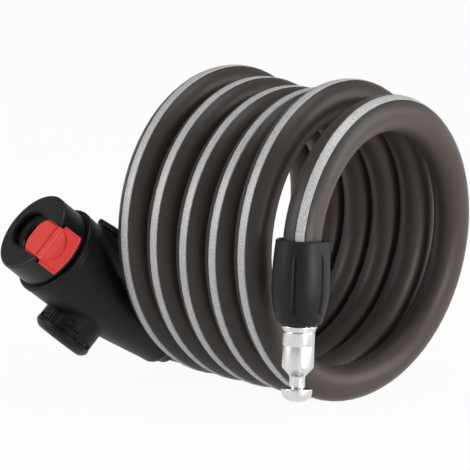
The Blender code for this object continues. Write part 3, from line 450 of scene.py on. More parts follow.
def soft_line(corners, closed=False, steps=4):
    """(x, y) points along a line of (x, y, radius) corners, each rounded to its radius."""
    points = []
    for index, (x, y, radius) in enumerate(corners):
        here = Vector((x, y))
        if not radius or (not closed and index in (0, len(corners) - 1)):
            points.append(here)
            continue
        back = (Vector(corners[index - 1][:2]) - here).normalized()
        on = (Vector(corners[(index + 1) % len(corners)][:2]) - here).normalized()
        half = back.angle(on) / 2
        centre = here + (back + on).normalized() * radius / math.sin(half)
        start = here + back * radius / math.tan(half) - centre
        end = here + on * radius / math.tan(half) - centre
        points += [centre + start.lerp(end, step / steps).normalized() * radius for step in range(steps + 1)]
    return points


def arc(centre, radii, start, end, steps):
    turns = [start + (end - start) * step / steps for step in range(steps + 1)]
    return [(centre[0] + radii[0] * math.cos(turn), centre[1] + radii[1] * math.sin(turn)) for turn in turns]


def turned(outline, sides, hollow=False):
    """A mesh turned about Z from (radius, height) points: a line between axis points, or a hollow loop."""
    bm = bmesh.new()
    points = [bm.verts.new((x, 0, z)) for x, z in outline]
    edges = [bm.edges.new(pair) for pair in zip(points, points[1:])]
    if hollow:
        edges.append(bm.edges.new((points[-1], points[0])))
    bmesh.ops.spin(bm, geom=points + edges, axis=(0, 0, 1), cent=(0, 0, 0), angle=math.tau, steps=sides,
                   use_merge=True)
    return bm


def raised(outline, low, high):
    """A mesh of a flat (x, y) outline raised from one height to another."""
    bm = bmesh.new()
    face = bm.faces.new([bm.verts.new((x, y, low)) for x, y in outline])
    grown = bmesh.ops.extrude_face_region(bm, geom=[face])["geom"]
    corners = [item for item in grown if isinstance(item, bmesh.types.BMVert)]
    bmesh.ops.translate(bm, verts=corners, vec=(0, 0, high - low))
    return bm


def skinned(rows, ends=True):
    """A mesh over rings of points, its two ends filled."""
    bm = bmesh.new()
    rings = [[bm.verts.new(point) for point in row] for row in rows]
    for ring, other in zip(rings, rings[1:]):
        for step in range(len(ring)):
            ahead = (step + 1) % len(ring)
            bm.faces.new((ring[step], ring[ahead], other[ahead], other[step]))
    if ends:
        bm.faces.new(rings[0])
        bm.faces.new(rings[-1])
    return bm


def settled(bm, name, crease=32):
    """A mesh from a bmesh, its normals outward and smooth up to an angle in degrees."""
    bmesh.ops.remove_doubles(bm, verts=bm.verts, dist=1e-7)
    bmesh.ops.recalc_face_normals(bm, faces=bm.faces)
    mesh = bpy.data.meshes.new(name)
    bm.to_mesh(mesh)
    bm.free()
    mesh.shade_smooth()
    mesh.set_sharp_from_angle(angle=math.radians(crease))
    return mesh


def put(name, mesh, place):
    made = bpy.data.objects.new(name, mesh)
    bpy.context.scene.collection.objects.link(made)
    made.matrix_world = place
    return made


def shaped(name, bm, place, crease=32):
    """A new object of a bmesh, at its place."""
    return put(name, settled(bm, name, crease), place)


def worked(thing, cutters, bevel=0.0, crease=32):
    """Cuts away the cutters, rounds the edges, and keeps the result as the piece's own mesh."""
    for cutter in cutters:
        step = thing.modifiers.new(cutter.name, "BOOLEAN")
        step.object = cutter
        step.solver = "EXACT"
    if bevel:
        step = thing.modifiers.new("edges", "BEVEL")
        step.width = bevel
        step.segments = 2
        step.limit_method = "ANGLE"
        step.angle_limit = math.radians(38)
        step.use_clamp_overlap = True
    bpy.context.view_layer.update()
    graph = bpy.context.evaluated_depsgraph_get()
    mesh = bpy.data.meshes.new_from_object(thing.evaluated_get(graph))
    thing.modifiers.clear()
    thing.data = mesh
    mesh.shade_smooth()
    mesh.set_sharp_from_angle(angle=math.radians(crease))
    for cutter in cutters:
        bpy.data.objects.remove(cutter)
    return thing


def finished(thing, body, slot, materials, *nodes):
    """Gives a piece its materials and its body, and hides the nodes that it stands for; slot is not used."""
    if thing.data.materials:
        thing.data.materials.clear()
    for material in materials:
        thing.data.materials.append(material)
    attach(thing, body)
    if nodes:
        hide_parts(*nodes)
    return thing


# Places

def coil_point(turn):
    """The cable's middle at a count of turns from the lock end. Each turn starts at the bottom."""
    cable = settings().cable
    opened = max(0.0, turn - OPEN_FROM)
    rise = TOP_RISE[min(int(turn), len(TOP_RISE) - 1)]
    angle = math.tau * turn
    far = (1 + math.sin(angle)) / 2
    lean = LEAN * ((FAR_LEAN_END - turn) * far - max(0.0, turn - NEAR_LEAN_START) * (1 - far))
    over = (cable.diameter + cable.turn_gap) * (turn - ORIGIN_TURN) + OPEN_RATE * opened ** 2 + lean
    up = COIL_HEIGHT - cable.coil_radius * math.cos(angle) + rise * (1 - math.cos(angle)) / 2
    return Vector((over, cable.coil_radius * math.sin(angle), up))


def coil_direction(turn):
    step = 1e-4
    return (coil_point(turn + step) - coil_point(turn - step)).normalized()


def head_place():
    """Head frame: +Z to the key, -Y out of the boss, origin where the bolt socket's axis crosses."""
    up = Vector(JOINTS["key_turn"]["axis"]).normalized()
    side = Vector(JOINTS["latch_slide"]["axis"])
    side = (side - up * side.dot(up)).normalized()
    origin = Vector(JOINTS["key_turn"]["pos_m"]) - up * KEY_PIVOT
    turn = Matrix((side, up.cross(side), up)).transposed()
    return Matrix.Translation(origin) @ turn.to_4x4()


def bolt_place():
    """Bolt end frame: +Z down the bolt, origin where the coil ends."""
    way = Vector(BOLT_WAY).normalized()
    return Matrix.Translation(coil_point(LAST_TURN)) @ way.to_track_quat("Z", "X").to_matrix().to_4x4()


def toward_boss():
    """Head frame turned so that +Z runs from the head's axis out through the boss."""
    return head_place() @ Matrix.Rotation(math.radians(90), 4, "X")


def toward_rail(height=0.0):
    """Head frame at a height, turned so that +Z runs out through the rail."""
    return head_place() @ Matrix.Translation((0, 0, height)) @ Matrix.Rotation(math.radians(-90), 4, "X")


def lead_point(share):
    """The bend that takes the cable from the lock's tail to the coil."""
    head = head_place()
    start = head @ Vector((0, 0, -LEAD_DEPTH))
    start_way = -(head.to_3x3() @ Vector((0, 0, 1)))
    end = coil_point(FIRST_TURN)
    end_way = coil_direction(FIRST_TURN)
    bend = start_way.angle(end_way)
    reach = 4 / 3 * math.tan(bend / 4) * (end - start).length / (2 * math.sin(bend / 2))
    points = (start, start + start_way * reach, end - end_way * reach, end)
    rest = 1 - share
    weights = (rest ** 3, 3 * rest ** 2 * share, 3 * rest * share ** 2, share ** 3)
    return sum((point * weight for point, weight in zip(points, weights)), Vector())


def eased(value):
    value = min(1.0, max(0.0, value))
    return value * value * (3 - 2 * value)


def coil_outward(turn):
    """The side of the cable that carries the stripe: out from the coil, turned a little by the sleeve."""
    angle = math.tau * turn
    out = Vector((0, math.sin(angle), -math.cos(angle)))
    twist = settings().cable.stripe_twist * eased((turn - TWIST_FROM) / TWIST_RUN)
    return Quaternion(coil_direction(turn), twist) @ out


def cable_route():
    """Points from inside the lock, round the coil and into the sleeve, with the stripe's side at each."""
    head = head_place()
    fall = -LEAD_DEPTH - JACKET_TOP
    lead = [head @ Vector((0, 0, JACKET_TOP + fall * step / END_STEPS)) for step in range(END_STEPS)]
    lead += [lead_point(step / LEAD_STEPS) for step in range(LEAD_STEPS)]
    count = round((LAST_TURN - FIRST_TURN) * RINGS_A_TURN)
    turns = [FIRST_TURN + (LAST_TURN - FIRST_TURN) * step / count for step in range(count + 1)]
    coil = [coil_point(turn) for turn in turns]
    sides = [coil_outward(turn) for turn in turns]
    bolt = bolt_place()
    end = [bolt @ Vector((0, 0, JACKET_FOOT * (step + 1) / END_STEPS)) for step in range(END_STEPS)]
    sides += [sides[-1]] * len(end)
    # Carried back along the lead without twisting
    side = sides[0]
    back = []
    ahead = coil_direction(FIRST_TURN)
    for here, there in reversed(list(zip(lead, lead[1:] + coil[:1]))):
        way = (there - here).normalized()
        side = ahead.rotation_difference(way) @ side
        ahead = way
        back.append(side.copy())
    return lead + coil + end, back[::-1] + sides


# Cable

def jacket_section():
    """(turn, radius, stripe) round the cable, from one seam of the stripe to the same seam again."""
    cable = settings().cable
    radius = cable.diameter / 2
    half = cable.stripe_width / 2 / radius
    seam = STRIPE_SEAM / radius
    section = [(-half, radius - cable.stripe_groove, True), (-half + seam, radius, True)]
    section += [((half - seam) * step / 3, radius, True) for step in range(-2, 3)]
    section += [(half - seam, radius, True), (half, radius - cable.stripe_groove, False)]
    start = half + seam
    run = math.tau - 2 * start
    section += [(start + run * step / JACKET_SIDES, radius, False) for step in range(JACKET_SIDES + 1)]
    return section


class CABLE_LOCK_OT_cable(Operator):
    """Makes the cable: a smoky jacket with its reflective stripe, coiled as it rests"""
    bl_idname = "cable_lock.cable"
    bl_label = "Cable"

    def execute(self, context):
        points, sides = cable_route()
        section = jacket_section()
        bm = bmesh.new()
        uv = bm.loops.layers.uv.new("along")
        rings = []
        run = [0.0]
        for index, point in enumerate(points):
            before = points[max(0, index - 1)]
            after = points[min(len(points) - 1, index + 1)]
            way = (after - before).normalized()
            out = (sides[index] - way * sides[index].dot(way)).normalized()
            across = way.cross(out)
            rings.append([bm.verts.new(point + (out * math.cos(turn) + across * math.sin(turn)) * radius)
                          for turn, radius, _ in section])
            run.append(run[-1] + (after - point).length)
        count = len(section)
        for index, (ring, other) in enumerate(zip(rings, rings[1:])):
            for step, (_, _, stripe) in enumerate(section):
                ahead = (step + 1) % count
                face = bm.faces.new((ring[step], ring[ahead], other[ahead], other[step]))
                face.material_index = 1 if stripe else 0
                for loop, (row, column) in zip(face.loops, ((0, 0), (0, 1), (1, 1), (1, 0))):
                    loop[uv].uv = (run[index + row], (step + column) / count)
        bm.faces.new(rings[0])
        bm.faces.new(rings[-1])
        jacket = shaped("jacket", bm, Matrix.Identity(4), 50)
        finished(jacket, "lock", "smoked_jacket",
                 (kept("jacket_pvc", jacket_pvc), kept("stripe_tape", reflective_stripe)), "cable_jacket")
        return {"FINISHED"}


class CABLE_LOCK_OT_cord(Operator):
    bl_idname = "cable_lock.cord"
    bl_label = "Cord"

    def execute(self, context):
        points, _ = cable_route()
        return {"FINISHED"}


# Bolt end

class CABLE_LOCK_OT_sleeve(Operator):
    """Makes the moulded sleeve with its grip grooves"""
    bl_idname = "cable_lock.sleeve"
    bl_label = "Bolt sleeve"

    def execute(self, context):
        end = settings().bolt_end
        bore = settings().cable.diameter / 2 + GAP
        top = end.sleeve_start
        foot = top + end.sleeve_length
        rim = 0.7 * MM
        mouth = end.sleeve_radius - 1.25 * MM
        soft = 0.25 * MM
        brow_width = 0.5 * MM
        heel_width = 1.2 * MM
        bolt_hole = 5.2 * MM
        inside = [(bore, top + 5 * MM), (bore, top + 2.6 * MM), (mouth - 0.3 * MM, top + 2.1 * MM)]
        lip = arc((mouth + soft, top + soft), (soft, soft), math.pi, 1.5 * math.pi, 3)
        brow_centre = (end.sleeve_radius - brow_width, top + rim)
        brow = arc(brow_centre, (brow_width, rim), 1.5 * math.pi, math.tau, 5)
        belly = end.sleeve_radius + end.sleeve_belly
        middle = top + 0.52 * end.sleeve_length
        rings = 36
        side = []
        for step in range(1, rings + 1):
            height = top + rim + (end.sleeve_length - 4 * rim) * step / rings
            away = (height - middle) / end.sleeve_length
            droop = 3.5 * MM if away < 0 else 6.8 * MM
            side.append((belly - droop * away ** 2 * (1 + 1.3 * max(0, away)), height))
        last = side[-1]
        heel = arc((last[0] - heel_width, last[1]), (heel_width, foot - last[1]), 0, math.pi / 2, 6)[1:]
        under = [(bolt_hole, foot), (bolt_hole, foot - 1 * MM)]
        outline = inside + lip + brow + side + heel + under
        groove_top = top + 4.3 * MM
        groove_foot = groove_top + 19.0 * MM
        groove_depth = 0.75 * MM
        fade = 0.8 * MM
        sector = math.tau / end.grooves
        half_width = 0.5 * MM / belly
        local = [-1.0, -0.8, -0.6, -0.4, -0.24, -0.14]
        local = [share * sector / 2 for share in local]
        edge = [-1.5, -1.1, -0.8, -0.3, 0.3, 0.8, 1.1, 1.5]
        local += [share * half_width for share in edge] + [-share for share in local[:0:-1]]
        turns = [end.groove_turn + sector * count + turn for count in range(end.grooves) for turn in local]

        def depth(turn, height):
            away = (turn - end.groove_turn + sector / 2) % sector - sector / 2
            along = eased((height - groove_top) / fade) * eased((groove_foot - height) / fade)
            dimple = max(0.0, 1 - abs(height - groove_foot + 0.9 * MM) / (1.0 * MM))
            width = half_width * (1 + 0.5 * dimple)
            return groove_depth * along * (1 - eased((abs(away) / width - 0.7) / 0.5))

        rows = []
        for radius, height in outline:
            on_side = radius > end.sleeve_radius - 0.6 * MM and top < height < foot
            cut = [depth(turn, height) if on_side else 0.0 for turn in turns]
            rows.append([((radius - less) * math.cos(turn), (radius - less) * math.sin(turn), height)
                         for turn, less in zip(turns, cut)])
        sleeve = shaped("sleeve", skinned(rows, False), bolt_place(), 60)
        finished(sleeve, "lock", "black_plastic", [kept("sleeve_black", grip_black)], "bolt_sleeve")
        return {"FINISHED"}


class CABLE_LOCK_OT_bolt(Operator):
    """Makes the turned bolt: flange, body, cone, neck and domed head"""
    bl_idname = "cable_lock.bolt"
    bl_label = "Bolt"

    def execute(self, context):
        end = settings().bolt_end
        start = end.sleeve_start + end.sleeve_length + GAP
        flange = end.flange_diameter / 2
        body = end.bolt_diameter / 2
        neck = end.neck_diameter / 2
        head = end.head_diameter / 2
        line = start + 6.4 * MM
        score = 0.15 * MM
        score_depth = 0.04 * MM
        tip = start + 24.5 * MM
        skirt = start + 21.4 * MM
        shank = 4.7 * MM
        shank_end = start - 9 * MM
        ring = body + 0.25 * MM
        outline = soft_line([
            (shank, shank_end, 0), (shank, start, 0.1 * MM), (flange, start, 0.35 * MM),
            (flange, start + 0.9 * MM, 0.35 * MM), (ring, start + 1.0 * MM, 0.05 * MM),
            (ring, start + 1.6 * MM, 0.25 * MM), (body - 0.18 * MM, start + 1.9 * MM, 0.1 * MM),
            (body, start + 2.3 * MM, 0.1 * MM),
            (body, line - score, 0), (body - score_depth, line, 0), (body, line + score, 0),
            (body, start + 13.3 * MM, 0.6 * MM), (neck, start + 16.2 * MM, 0.7 * MM),
            (neck, start + 19.7 * MM, 0.35 * MM), (head, start + 19.9 * MM, 0.4 * MM), (head, skirt, 0),
        ], steps=5)
        dome = arc((0, skirt), (head, tip - skirt), 0, math.pi / 2, 12)
        outline = [(0, shank_end)] + outline + dome[1:-1] + [(0, tip)]
        bolt = shaped("bolt_end", turned(outline, 80), bolt_place(), 40)
        finished(bolt, "lock", "bright_steel", [kept("bolt_steel", turned_steel)], "bolt")
        return {"FINISHED"}


# Lock head

def shell_path(height):
    """Middle, sideways and forward directions of the head at a height on its axis, bent along the tail."""
    if height >= -LEAD_DEPTH:
        return Vector((0, 0, height)), Vector((1, 0, 0)), Vector((0, 1, 0))
    into = head_place().inverted()
    spots = [lead_point(step / TAIL_STEPS) for step in range(TAIL_STEPS + 1)]
    whole = sum((there - here).length for here, there in zip(spots, spots[1:]))
    share = (-LEAD_DEPTH - height) / whole
    step = 0.01
    way = (into @ lead_point(share - step) - into @ lead_point(share + step)).normalized()
    side = (Vector((1, 0, 0)) - way * way.x).normalized()
    return into @ lead_point(share), side, way.cross(side)


def shell_radius(height):
    """Outside of the head casing below its rim bead: a smooth line through its widths."""
    rim = settings().head.rim_radius
    heights = [low * MM for low, _ in SHELL_WIDTHS]
    radii = [wide * MM * rim / (SHELL_RIM * MM) for _, wide in SHELL_WIDTHS]
    place = max(0, min(len(heights) - 2, sum(height >= low for low in heights) - 1))

    def slope(index):
        low = max(0, index - 1)
        high = min(len(heights) - 1, index + 1)
        return (radii[high] - radii[low]) / (heights[high] - heights[low])

    span = heights[place + 1] - heights[place]
    t = (height - heights[place]) / span
    return (radii[place] * (2 * t ** 3 - 3 * t ** 2 + 1) + radii[place + 1] * (3 * t ** 2 - 2 * t ** 3)
            + span * slope(place) * (t ** 3 - 2 * t ** 2 + t) + span * slope(place + 1) * (t ** 3 - t ** 2))


class CABLE_LOCK_OT_shell(Operator):
    """Makes the head casing, from the bead under the cap to the tail that follows the cable"""
    bl_idname = "cable_lock.shell"
    bl_label = "Head casing"

    def execute(self, context):
        head = settings().head
        rim = 23.3 * MM
        bead = head.rim_radius
        sides = 96
        mouth = 13.7 * MM
        soft = 0.9 * MM
        chamfer = 0.4 * MM
        cap_seat = 20.2 * MM
        outline = [(cap_seat, mouth), (rim - chamfer, mouth), (rim, mouth + chamfer)]
        outline += [(y, x) for x, y in arc((bead - soft, rim - soft), (soft, soft), math.pi / 2, 0, 6)]
        outline += [(rim - 1.8 * MM, bead), (rim - 2.0 * MM, bead - 0.25 * MM)]
        steps = 80
        high = rim - 2.2 * MM
        low = -TAIL_DEPTH + 0.8 * MM
        heights = [high + (low - high) * step / steps for step in range(steps + 1)]
        outline += [(height, shell_radius(height)) for height in heights]
        tail = shell_radius(low)
        outline += [(-TAIL_DEPTH + 0.2 * MM, tail - 0.25 * MM), (-TAIL_DEPTH, tail - 0.8 * MM),
                    (-TAIL_DEPTH + 0.3 * MM, 6.6 * MM), (-TAIL_DEPTH + 4 * MM, 6.5 * MM),
                    (-21 * MM, 7.6 * MM), (-17 * MM, 9.8 * MM), (0, 12.6 * MM), (cap_seat, 13.5 * MM)]
        turns = [math.tau * step / sides for step in range(sides)]
        rows = []
        for height, radius in outline + outline[:1]:
            middle, side, ahead = shell_path(height)
            rows.append([middle + (side * math.cos(turn) + ahead * math.sin(turn)) * radius
                         for turn in turns])
        shell = shaped("casing", skinned(rows, False), head_place(), 45)
        hole = 9.4 * MM
        inner = 6 * MM
        outer = 24 * MM
        drill = turned([(0, inner), (hole, inner), (hole, outer), (0, outer)], 64)
        cutters = [shaped("boss_hole", drill, toward_boss())]
        worked(shell, cutters, crease=45)
        finished(shell, "lock", "black_plastic", [kept("casing_black", moulded_black)], "head_shell")
        return {"FINISHED"}


def slot_outline(half, past):
    """The key slot: round at its inner end, open at the cap's edge."""
    end = -9.7 * MM
    middle = end + settings().head.slot_half
    return arc((middle, 0), (half, half), math.pi / 2, 1.5 * math.pi, 32) + [(past, -half), (past, half)]


class CABLE_LOCK_OT_cap(Operator):
    """Makes the cap, with the stepped key slot, the cover's runners and the seat for its lip"""
    bl_idname = "cable_lock.cap"
    bl_label = "Cap"

    def execute(self, context):
        head = settings().head
        face = head.face_height
        half_slot = head.slot_half
        roof = face - 3.2 * MM
        foot = 23.6 * MM
        spigot = 20.5 * MM
        hole = half_slot - 0.5 * MM
        inside = 8.8 * MM
        neck = 13.4 * MM
        outline = soft_line([
            (inside, spigot, 0), (neck, spigot, 0.3 * MM), (neck, foot, 0),
            (head.cap_radius, foot, 0.35 * MM), (head.cap_radius, face, 1.0 * MM), (hole, face, 0),
            (hole, roof, 0), (inside, roof, 0)], closed=True, steps=6)
        cap = shaped("cap", turned(outline, 128, hollow=True), head_place())
        past = 20 * MM
        top = face + 2 * MM
        ways = {
            "runner_way": raised(slot_outline(half_slot + 1.0 * MM, past), face - 2.3 * MM, face - 1.0 * MM),
            "slot_way": raised(slot_outline(half_slot, past), face - 1.5 * MM, top),
            "slot_step": raised(slot_outline(half_slot + 0.5 * MM, 2.0 * MM), face - 0.4 * MM, top),
        }
        cutters = [shaped(name, bm, head_place()) for name, bm in ways.items()]
        start = 13.3 * MM
        shelf = face - 2.8 * MM
        low = shelf - (past - start) * math.tan(LIP_DROP)
        wedge = [(start, top), (start, shelf), (past, low), (past, top)]
        seat = raised(wedge, -head.lip_half - GAP, head.lip_half + GAP)
        cutters.append(shaped("lip_seat", seat, toward_boss()))
        worked(cap, cutters, 0.18 * MM)
        finished(cap, "lock", "black_plastic", [kept("cap_black", smooth_black)], "head_cap")
        return {"FINISHED"}


class CABLE_LOCK_OT_cover(Operator):
    """Makes the sliding dust cover: nose, double ridge, thumb recess and dropped lip"""
    bl_idname = "cable_lock.cover"
    bl_label = "Dust cover"

    def execute(self, context):
        head = settings().head
        top = head.face_height - 0.6 * MM
        apex = -0.2 * MM
        nose = 4.2 * MM
        crease = 14.8 * MM  # along the cover from its apex
        lip = 7.3 * MM
        whole = crease + lip
        step_at = crease + 0.1 * MM
        columns = 72
        bend = 0.8 * MM
        soft = 0.4 * MM
        corner = 0.7 * MM
        sheet = 1.4 * MM
        lip_extra = 0.5 * MM
        lip_bow = 1.0 * MM
        slope = 0.3 * MM
        ridges = (11.2 * MM, 12.8 * MM)
        ridge_height = 0.5 * MM
        ridge_half = 0.2 * MM
        recess_start = 1.3 * MM  # before the crease
        recess_reach = 5.0 * MM
        recess_half = 5.7 * MM
        recess_run = 4.5 * MM
        recess_depth = 1.0 * MM
        wing_drop = 0.5 * MM

        def half_width(along):
            if along < nose:
                return head.cover_half * math.sqrt(max(0.0, 1 - ((nose - along) / nose) ** 2)) + 0.05 * MM
            if along < step_at:
                return head.cover_half
            into = max(0.0, along - whole + corner) / corner
            return head.lip_half - corner * (1 - math.sqrt(max(0.0, 1 - into ** 2)))

        def relief(along, across):
            """Height of the cover's top over its plain sheet: ridges, thumb recess, wings and soft edges."""
            height = 0.0
            for middle in ridges:
                height += ridge_height * (1 - eased((abs(along - middle) - ridge_half) / slope))
            down = along - crease
            reach = recess_reach * math.sqrt(max(0.0, 1 - (across / recess_half) ** 2))
            if -recess_start < down < reach:
                sunk = eased((down + recess_start) / recess_run) * eased((reach - down) / slope)
                height -= recess_depth * sunk
            if along > step_at:
                height -= wing_drop * eased((abs(across) - head.cover_half + 0.1 * MM) / (0.2 * MM))
            for near in (half_width(along) - abs(across), whole - along, along):
                height -= max(0.0, soft - max(0.0, near))
            return height

        stations = [nose * (1 - math.cos(math.pi / 2 * step / 14)) for step in range(15)]
        stations += [nose + (step_at - nose) * step / 64 for step in range(1, 65)]
        stations += [step_at + 0.02 * MM + (whole - 0.72 * MM - step_at) * step / 56 for step in range(57)]
        stations += [whole - corner * math.cos(math.pi / 2 * step / 6) for step in range(1, 7)]
        rows = []
        x = apex
        z = top
        before = 0.0
        for along in stations:
            angle = LIP_DROP * eased((along - crease + bend) / (2 * bend))
            way = Vector((math.cos(angle), 0, -math.sin(angle)))
            up = Vector((math.sin(angle), 0, math.cos(angle)))
            x += (along - before) * way.x
            z += (along - before) * way.z
            before = along
            wide = half_width(along)
            thick = sheet + lip_extra * eased((along - crease) / bend)
            upper = []
            lower = []
            for column in range(columns + 1):
                across = wide * (2 * column / columns - 1)
                spot = Vector((x, across, z))
                if along > step_at:
                    share = (along - step_at) / (whole - step_at)
                    spot += way * lip_bow * (0.35 - (across / head.lip_half) ** 2) * share ** 2
                upper.append(spot + up * relief(along, across))
                lower.append(spot - up * thick)
            rows.append(upper + lower[::-1])
        bm = skinned(rows)
        wing = head.slot_half + 0.7 * MM
        end = 8.7 * MM
        ends = arc((apex + nose, 0), (nose - 0.5 * MM, wing), math.pi / 2, 1.5 * math.pi, 16)
        floor = head.face_height - 2.0 * MM
        runner = settled(raised(ends + [(end, -wing), (end, wing)], floor, floor + 0.7 * MM), "cover_runner")
        bm.from_mesh(runner)
        cover = shaped("cover_slide", bm, head_place(), 38)
        finished(cover, "cover", "red_plastic", [kept("cover_red", red_cover)], "dust_cover")
        return {"FINISHED"}


class CABLE_LOCK_OT_cylinder(Operator):
    """Makes the lock cylinder: barrel with its rim, and the plug with its keyway"""
    bl_idname = "cable_lock.cylinder"
    bl_label = "Lock cylinder"

    def execute(self, context):
        top = settings().head.face_height - 3.5 * MM
        bore = 6.5 * MM
        outside = 8.5 * MM
        rim = 7.3 * MM
        foot = 12.3 * MM
        step = top - 1.6 * MM
        barrel_line = soft_line([
            (bore, foot, 0), (outside, foot, 0.3 * MM), (outside, top, 0.3 * MM), (rim, top, 0.2 * MM),
            (rim, step, 0), (bore, step, 0)], closed=True)
        barrel = shaped("barrel", turned(barrel_line, 64, hollow=True), head_place())
        finished(barrel, "lock", "chrome", [kept("barrel_chrome", chrome_plate)], "cylinder_barrel")

        face = top - GAP
        dish = face - 0.25 * MM
        flange = 7.0 * MM
        flange_foot = top - 1.3 * MM
        body = 6.2 * MM
        body_foot = 12.6 * MM
        tail = 4.0 * MM
        tail_foot = 10.0 * MM
        plug_line = soft_line([
            (0, dish, 0), (4.9 * MM, dish, 0.1 * MM), (5.2 * MM, face, 0.1 * MM), (flange, face, 0.3 * MM),
            (flange, flange_foot, 0), (body, flange_foot, 0), (body, body_foot, 0.2 * MM),
            (tail, body_foot, 0), (tail, tail_foot, 0.2 * MM), (0, tail_foot, 0)])
        plug = shaped("plug", turned(plug_line, 64), head_place())
        half = 1.1 * MM
        tall = 4.0 * MM
        ward = half - 0.7 * MM
        keyway = [(-half, -tall), (half, -tall), (half, -1.4 * MM), (ward, -0.9 * MM), (ward, 0.6 * MM),
                  (half, 1.1 * MM), (half, tall), (-half, tall), (-half, 2.4 * MM), (-ward, 1.9 * MM),
                  (-ward, 0.4 * MM), (-half, -0.1 * MM)]
        cutters = [shaped("keyway", raised(keyway, 15 * MM, 34 * MM), head_place())]
        worked(plug, cutters, 0.12 * MM)
        finished(plug, "cylinder", "brass", [kept("plug_nickel", nickel_plate)], "key_plug")
        return {"FINISHED"}


class CABLE_LOCK_OT_socket(Operator):
    """Makes the bolt socket: the boss with its bayonet ways and rounded rim, and the steel bush inside"""
    bl_idname = "cable_lock.socket"
    bl_label = "Bolt socket"

    def execute(self, context):
        head = settings().head
        reach = head.boss_reach
        rim = head.boss_radius
        body = rim - 0.15 * MM
        bore = 7.3 * MM
        band = reach - 3.4 * MM
        repeats = 3
        sides = 288
        low = 10.5 * MM
        crown = 1.9 * MM
        ways_foot = 12.5 * MM
        heights = [low, 11.5 * MM, 12.4 * MM]
        heights += [ways_foot + (band + 0.6 * MM - ways_foot) * step / 64 for step in range(65)]
        heights += [band + 0.7 * MM + (reach - crown - band - 0.7 * MM) * step / 4 for step in range(1, 5)]

        def within(value, start, end, ramp):
            return eased((value - start) / ramp + 0.5) * eased((end - value) / ramp + 0.5)

        def stand(turn, height):
            """Radius of the boss: L-shaped bayonet ways, a stop beside each, a dimple, and the rim."""
            away = math.degrees(turn) % (360 / repeats)
            level = (height - band) / MM
            cut = max(deep * (within(away, start, end, slope) * within(level, -fall, 0.0, BOSS_CUT_SLOPE))
                      for start, end, slope, fall, deep in BOSS_CUTS)
            around = (away - DIMPLE_TURN) * math.radians(1) * rim / MM
            ring = 1 - eased((abs(math.hypot(around, level + DIMPLE_DROP) - DIMPLE_RADIUS) - 0.1) / 0.2)
            cut += DIMPLE_DEPTH * ring
            return body - cut * MM + (rim - body) * eased(level / 0.3)

        turns = [math.tau * step / sides for step in range(sides)]
        rows = [[(stand(turn, height) * math.cos(turn), stand(turn, height) * math.sin(turn), height)
                 for turn in turns] for height in heights]
        corner = rim - 0.15 * MM
        mouth = bore + 0.5 * MM
        edge = [(corner + (mouth - corner) * step / 8, reach - (crown - 0.15 * MM) * (1 - step / 8) ** 2)
                for step in range(9)]
        for radius, height in edge + [(bore, reach - 0.5 * MM), (bore, low)]:
            rows.append([(radius * math.cos(turn), radius * math.sin(turn), height) for turn in turns])
        collar = shaped("socket_boss", skinned(rows + rows[:1], False), toward_boss(), 35)
        finished(collar, "lock", "black_plastic", [kept("boss_black", moulded_black)], "socket_collar")

        end = reach - 1.6 * MM
        foot = 8.2 * MM
        inside = 5.4 * MM
        outside = 7.0 * MM
        liner_line = soft_line([
            (inside, foot, 0), (outside, foot, 0), (outside, end, 0.2 * MM), (6.2 * MM, end, 0.2 * MM),
            (inside, end - 0.8 * MM, 0.3 * MM)], closed=True)
        liner = shaped("socket_bush", turned(liner_line, 64, hollow=True), toward_boss())
        finished(liner, "lock", "bright_steel", [kept("bush_steel", turned_steel)], "socket_liner")
        return {"FINISHED"}


